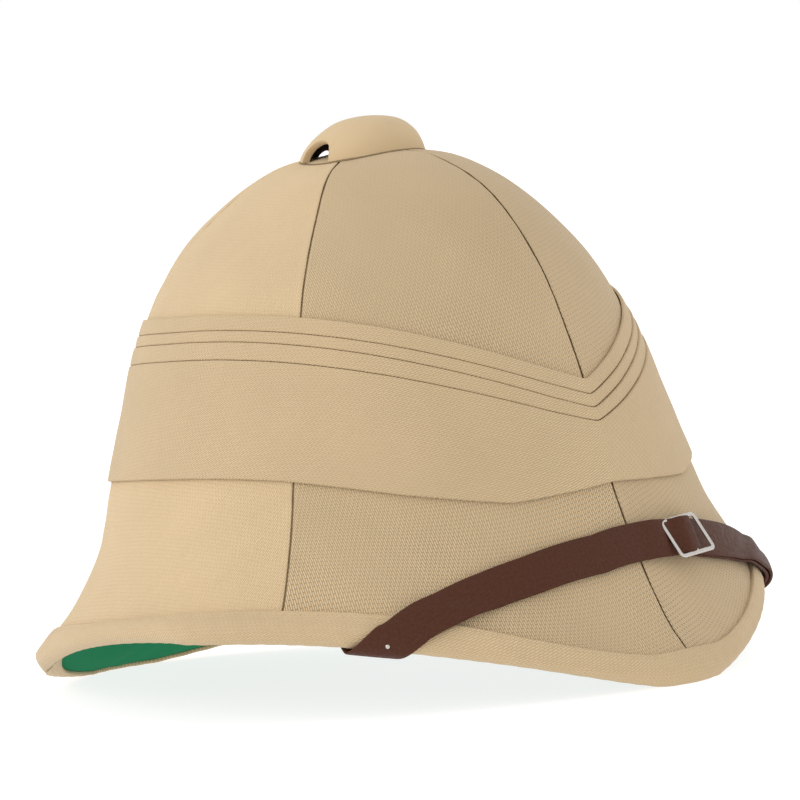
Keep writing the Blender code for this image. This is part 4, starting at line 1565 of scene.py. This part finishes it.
    def profile(self) -> tuple[Array, Array]:
        """Section of the leather.

        Returns:
            Ways across from the upper edge to the lower edge and back, and heights over the lower
            face, with edges rubbed round.
        """
        half = self.width / 2
        t = self.thickness
        edge = [(half, 0.50 * t), (half - 0.08 * MM, 0.76 * t), (half - 0.30 * MM, 0.93 * t),
                (half - 0.70 * MM, t)]
        shares = (0.78, 0.6, 0.4, 0.2, 0.0, -0.2, -0.4, -0.6, -0.78)
        face = [(x * half, t + self.crowning * (1 - x * x)) for x in shares]
        outer = edge + face + [(-x, level) for x, level in reversed(edge)]
        under = [(-half + 0.08 * MM, 0.22 * t), (-half + 0.35 * MM, 0.0)]
        under += [(x * half, 0.0) for x in (-0.6, -0.2)]
        under += [(-x, level) for x, level in reversed(under)]
        return tuple(np.array(outer + under).T)

    def march(self, stations: Array, level: Array) -> tuple[Array, Array, Array]:
        """Places across the strap, found by small steps over the brim from its middle.

        Args:
            stations: Lengths along the strap.
            level: Heights over the helmet at the stations.

        Returns:
            Ways across, and the plan angle and run at each way and station.
        """
        count = self.march_steps
        across = self.place(stations, level)[2]
        reach = 1.02 * self.width / 2
        limit = 1.5 * reach / count
        sides = []
        for sign in (-1.0, 1.0):
            angle, run = self.route_at(stations)
            heading = sign * across
            path = [(angle, run)]
            for _ in range(count):
                by_angle, by_run, normal = self.slopes(angle, run, level, 0.3 * MM)
                heading = unit(heading - normal * (heading * normal).sum(-1, keepdims=True))
                move = heading * reach / count
                pairs = ((by_angle, by_angle), (by_run, by_run), (by_angle, by_run),
                         (by_angle, move), (by_run, move))
                aa, rr, ar, on_angle, on_run = ((first * second).sum(-1) for first, second in pairs)
                scale = aa * rr - ar * ar
                by_turn = (on_angle * rr - on_run * ar) / scale
                by_way = (on_run * aa - on_angle * ar) / scale
                angle = angle + np.clip(by_turn, -limit / np.sqrt(aa), limit / np.sqrt(aa))
                run = run + np.clip(by_way, -limit / np.sqrt(rr), limit / np.sqrt(rr))
                path.append((angle, run))
            sides.append(path)
        line = np.array(sides[0][:0:-1] + sides[1])
        return np.linspace(-reach, reach, 2 * count + 1), self.smoothed(line[:, 0]), self.smoothed(line[:, 1])

    def smoothed(self, places: Array) -> Array:
        """Places whose distances from the strap's middle row change softly along the strap.

        Args:
            places: Plan angles or runs, rows across the strap by stations.

        Returns:
            The smoothed places, with the middle row as it was.
        """
        reach = self.soft_stations
        middle = places[self.march_steps]
        kernel = np.hanning(2 * reach + 3)[1:-1]
        offsets = np.pad(places - middle, ((0, 0), (reach, reach)), mode="edge")
        return middle + np.array([np.convolve(row, kernel / kernel.sum(), mode="valid") for row in offsets])

    def ribbon(self, name: str, start: float, end: float, level: Callable[[Array], Array]) -> Piece:
        """Stretch of strap.

        Args:
            name: Name of the piece.
            start: Length at which it starts.
            end: Length at which it ends.
            level: Height of its lower face by length.

        Returns:
            The stretch, with both ends closed.
        """
        stations = np.linspace(start, end, ceil((end - start) / self.station) + 1)
        stations[[0, -1]] = (start + 0.05 * MM, end - 0.05 * MM)
        over = level(stations)
        steps, *sides = self.march(stations, over)
        ways, heights = self.profile()
        away = np.abs(stations - self.buckle_at) / (self.buckle_length / 2)
        narrow = self.waist + (1 - self.waist) * ease((away - 0.6) / 0.7)
        each = np.arange(len(stations))
        rows = []
        for way, height in zip(ways, heights):
            share = (way * np.where(way < 0, narrow, 1.0) - steps[0]) / (steps[1] - steps[0])
            low = np.clip(share.astype(int), 0, len(steps) - 2)
            share = share - low
            spots = (side[low, each] * (1 - share) + side[low + 1, each] * share for side in sides)
            wear = 0.05 * MM * relief(np.stack(np.broadcast_arrays(stations, way, 0.0), -1), 16 * MM, 2.0)
            rows.append(self.on_brim(*spots, over + height + wear))
        around = np.cumsum(np.hypot(np.diff(ways, prepend=ways[0]), np.diff(heights, prepend=0)))
        uv = flat_uv(np.append(around, 0.0), stations)
        return grid_object(name, np.array(rows), uv, wrap_rows=True, capped=True)

    def rod(self, path: Array, closed: bool) -> Array:
        """Flattened rod along a flat path.

        Args:
            path: Points in the slide's plane.
            closed: Whether the path closes on itself.

        Returns:
            Its grid of sides by points by three.
        """
        if closed:
            way = np.roll(path, -1, axis=0) - np.roll(path, 1, axis=0)
        else:
            way = np.gradient(path, axis=0)
        way = unit(way)
        out = np.stack([way[:, 1], -way[:, 0]], -1)
        rows = []
        for side in range(self.rod_sides):
            turn = 2 * pi * side / self.rod_sides
            high = np.full((len(path), 1), self.buckle_thickness / 2 * sin(turn))
            rows.append(np.concatenate([path + out * (self.buckle_bar / 2 * cos(turn)), high], axis=1))
        return np.array(rows)

    def slide(self) -> Piece:
        """Rounded metal slide with a middle bar, lying over the strap.

        Returns:
            The slide.
        """
        half_long = self.buckle_length / 2 - self.buckle_bar / 2
        half_high = self.buckle_height / 2 - self.buckle_bar / 2
        corner = self.buckle_corner
        path = []
        for x_sign, y_sign, first in ((1, 1, 0.0), (-1, 1, 90.0), (-1, -1, 180.0), (1, -1, 270.0)):
            turns = np.radians(np.linspace(first, first + 90.0, 9))
            middle = (x_sign * (half_long - corner), y_sign * (half_high - corner))
            path.append(middle + corner * np.stack([np.cos(turns), np.sin(turns)], -1))
        bar = np.stack([np.zeros(9), np.linspace(-half_high, half_high, 9)], -1)
        rods = [(self.rod(np.concatenate(path), True), True), (self.rod(bar, False), False)]
        made = tubes_object("strap_slide", rods, 60.0)
        lift = radians(self.buckle_lift)
        raised = Matrix.Translation((0.0, 0.0, self.lift_share * sin(lift) * half_long))
        turned = Matrix.Rotation(radians(self.buckle_turn), 4, "Z")
        tilted = Matrix.Rotation(radians(-self.buckle_tilt), 4, "X") @ Matrix.Rotation(-lift, 4, "Y")
        seat = self.seat(self.buckle_at, self.buckle_level + self.buckle_thickness / 2, -self.buckle_drop)
        made.data.transform(seat @ raised @ turned @ tilted)
        return made

    def stud(self, name: str, length: float, level: float, radius: float, height: float) -> Piece:
        """Low domed stud head on the strap.

        Args:
            name: Name of the piece.
            length: Length along the strap.
            level: Height of its underside.
            radius: Radius of its head.
            height: Height of its head.

        Returns:
            The stud head.
        """
        turns = np.linspace(0.0, 2 * pi, 24, endpoint=False)
        rows = [[(r * radius * cos(t), r * radius * sin(t), z * height) for t in turns]
                for r, z in self.stud_outline]
        uv = flat_uv(np.arange(8.0) * MM, np.arange(25.0) * MM)
        made = grid_object(name, np.array(rows), uv, wrap_columns=True)
        weld(made, 1e-7)
        made.data.transform(self.seat(length, level))
        return made

    def build(self, leather: Material, metal: Material) -> None:
        """Make and dress the strap, its second layer, the slide and the studs.

        Args:
            leather: Material of the strap.
            metal: Material of the slide and the studs.
        """
        strap = self.ribbon("chin_strap_leather", 0.0, self.total, self.level)
        dress(strap, leather, Slot.LEATHER, "chin_strap")
        tail = self.ribbon(
            "strap_tail_leather", self.buckle_at + self.tail_tip_inset, self.tail_end,
            lambda lengths: np.full(lengths.shape, self.gap))
        dress(tail, leather, Slot.LEATHER, "strap_tail")
        dress(self.slide(), metal, Slot.NICKEL, "strap_buckle")
        head = self.gap + self.thickness + self.rivet_gap
        for side in Side:
            inset = self.rivet_inset if side is Side.RIGHT else self.total - self.rivet_inset
            node = f"strap_rivet_{side.name.lower()}"
            rivet = self.stud(f"{node}_head", inset, head, self.rivet_radius, self.rivet_height)
            dress(rivet, metal, Slot.NICKEL, node)
            over = (self.runs > 3 * self.stud_run) & (np.sign(self.angles) == side.value)
            rows = np.flatnonzero(over)
            order = rows[np.argsort(self.runs[rows])]
            at = float(np.interp(self.stud_run, self.runs[order], self.lengths[order]))
            base = float(self.level(np.array([at]))[0]) + self.thickness + self.stud_gap
            dot = self.stud(f"brim_stud_{side.name.lower()}", at, base, self.stud_radius, self.stud_height)
            dress(dot, metal, Slot.NICKEL)


@dataclass
class Studio:
    """Plain pale floor, even white surroundings and one soft light."""

    floor_radius: float = 40.0
    floor_colour: Colour = (0.32, 0.32, 0.32)
    floor_glow: float = 0.82
    world_strength: float = 1.0
    light_place: tuple[float, float, float] = (-1.5, -2.3, 1.5)
    light_size: float = 1.6
    light_power: float = 24.0
    aim: tuple[float, float, float] = (0.02, 0.0, 0.10)

    def floor(self) -> None:
        """Glowing floor of the studio, under the helmet."""
        bpy.ops.mesh.primitive_circle_add(vertices=96, radius=self.floor_radius, fill_type="NGON")
        floor = bpy.context.object
        floor.name = "studio_floor"
        surface = Grainy("pale_floor", self.floor_colour, scale=3.0, spread=0.0, height=0.0).make()
        shader = surface.node_tree.nodes["Principled BSDF"]
        shader.inputs["Emission Color"].default_value = grey(1.0)
        shader.inputs["Emission Strength"].default_value = self.floor_glow
        floor.data.materials.append(surface)

    def light(self) -> None:
        """Square soft light aimed at the helmet."""
        lamp = bpy.data.lights.new("key_light", "AREA")
        lamp.shape = "SQUARE"
        lamp.size = self.light_size
        lamp.energy = self.light_power
        made = new_object("key_light", lamp)
        made.location = self.light_place
        facing = Vector(self.aim) - Vector(self.light_place)
        made.rotation_euler = facing.to_track_quat("-Z", "Y").to_euler()

    def build(self) -> None:
        """Make the floor, the world and the light."""
        self.floor()
        world = bpy.data.worlds.new("white_surroundings")
        world.use_nodes = True
        background = world.node_tree.nodes["Background"]
        background.inputs["Color"].default_value = grey(1.0)
        background.inputs["Strength"].default_value = self.world_strength
        bpy.context.scene.world = world
        bpy.context.scene.view_settings.view_transform = "Standard"
        self.light()


@dataclass(frozen=True)
class PhotoCamera:
    """Camera at the photograph's viewing angle, above the floor."""

    aim: tuple[float, float, float] = (0.02212, 0.00232, 0.1100)
    around: float = 44.448
    height_angle: float = 3.313
    roll: float = -5.248
    distance: float = 2.0
    lens: float = 227.0

    def make(self) -> None:
        """Create the camera and use it."""
        turn = radians(self.around)
        up = radians(self.height_angle)
        lean = radians(self.roll)
        back = Vector((cos(turn) * cos(up), -sin(turn) * cos(up), sin(up)))
        level = Vector((sin(turn), cos(turn), 0.0))
        upright = back.cross(level)
        right = level * cos(lean) + upright * sin(lean)
        above = upright * cos(lean) - level * sin(lean)
        lens = bpy.data.cameras.new("photo_camera")
        lens.lens = self.lens
        camera = new_object("photo_camera", lens)
        place = Vector(self.aim) + back * self.distance
        camera.matrix_world = Matrix.Translation(place) @ Matrix((right, above, back)).transposed().to_4x4()
        bpy.context.scene.camera = camera


def main() -> None:
    """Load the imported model, dress it and light it."""
    logging.basicConfig(level=logging.INFO, format="%(name)s: %(message)s")
    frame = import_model()
    PhotoCamera().make()
    form = HelmetForm()
    metal = PolishedMetal("nickel_plate", (0.60, 0.57, 0.53)).make()
    leather = Leather("strap_leather", (0.064, 0.020, 0.010), (0.094, 0.034, 0.018)).make()
    # Dark brown strip round the button's foot: painted shade under its rim.
    foot_shade = Grainy("foot_shade_strip", (0.24, 0.17, 0.09), scale=1500.0).make()
    # Dark brown inside the button: painted shade of the unlit hollow.
    hollow_shade = Grainy("button_hollow_shade", (0.060, 0.040, 0.020), scale=900.0).make()
    CoverPanels(form).build()
    InnerLayers(form).build()
    BrimBinding(form).build(
        Twill("twill_binding", dimmed(COTTON_COLOUR, 0.92), shade=0.66, lean=-60.0, pitch=0.82 * MM).make(),
        Grainy("sewing_thread", (0.55, 0.43, 0.27), scale=2500.0).make())
    Puggaree(form).build(
        Twill("twill_puggaree", dimmed(COTTON_COLOUR, 0.92), shade=0.60, lean=-59.0, pitch=0.76 * MM).make())
    # Button cloth dimmed to 0.84: partly for its fainter weave, partly painted shade against the extra light
    # on its up-facing top.
    button_cloth = Twill(
        "twill_button", dimmed(COTTON_COLOUR, 0.84), shade=0.9, lean=45.0, height=0.04 * MM).make()
    VentButton(form).build(button_cloth, foot_shade, hollow_shade)
    for place in frame["nodes"]["button_post"].material_slots:
        place.material = metal
    ChinStrap(form).build(leather, metal)
    Studio().build()


if __name__ == "__main__":
    main()
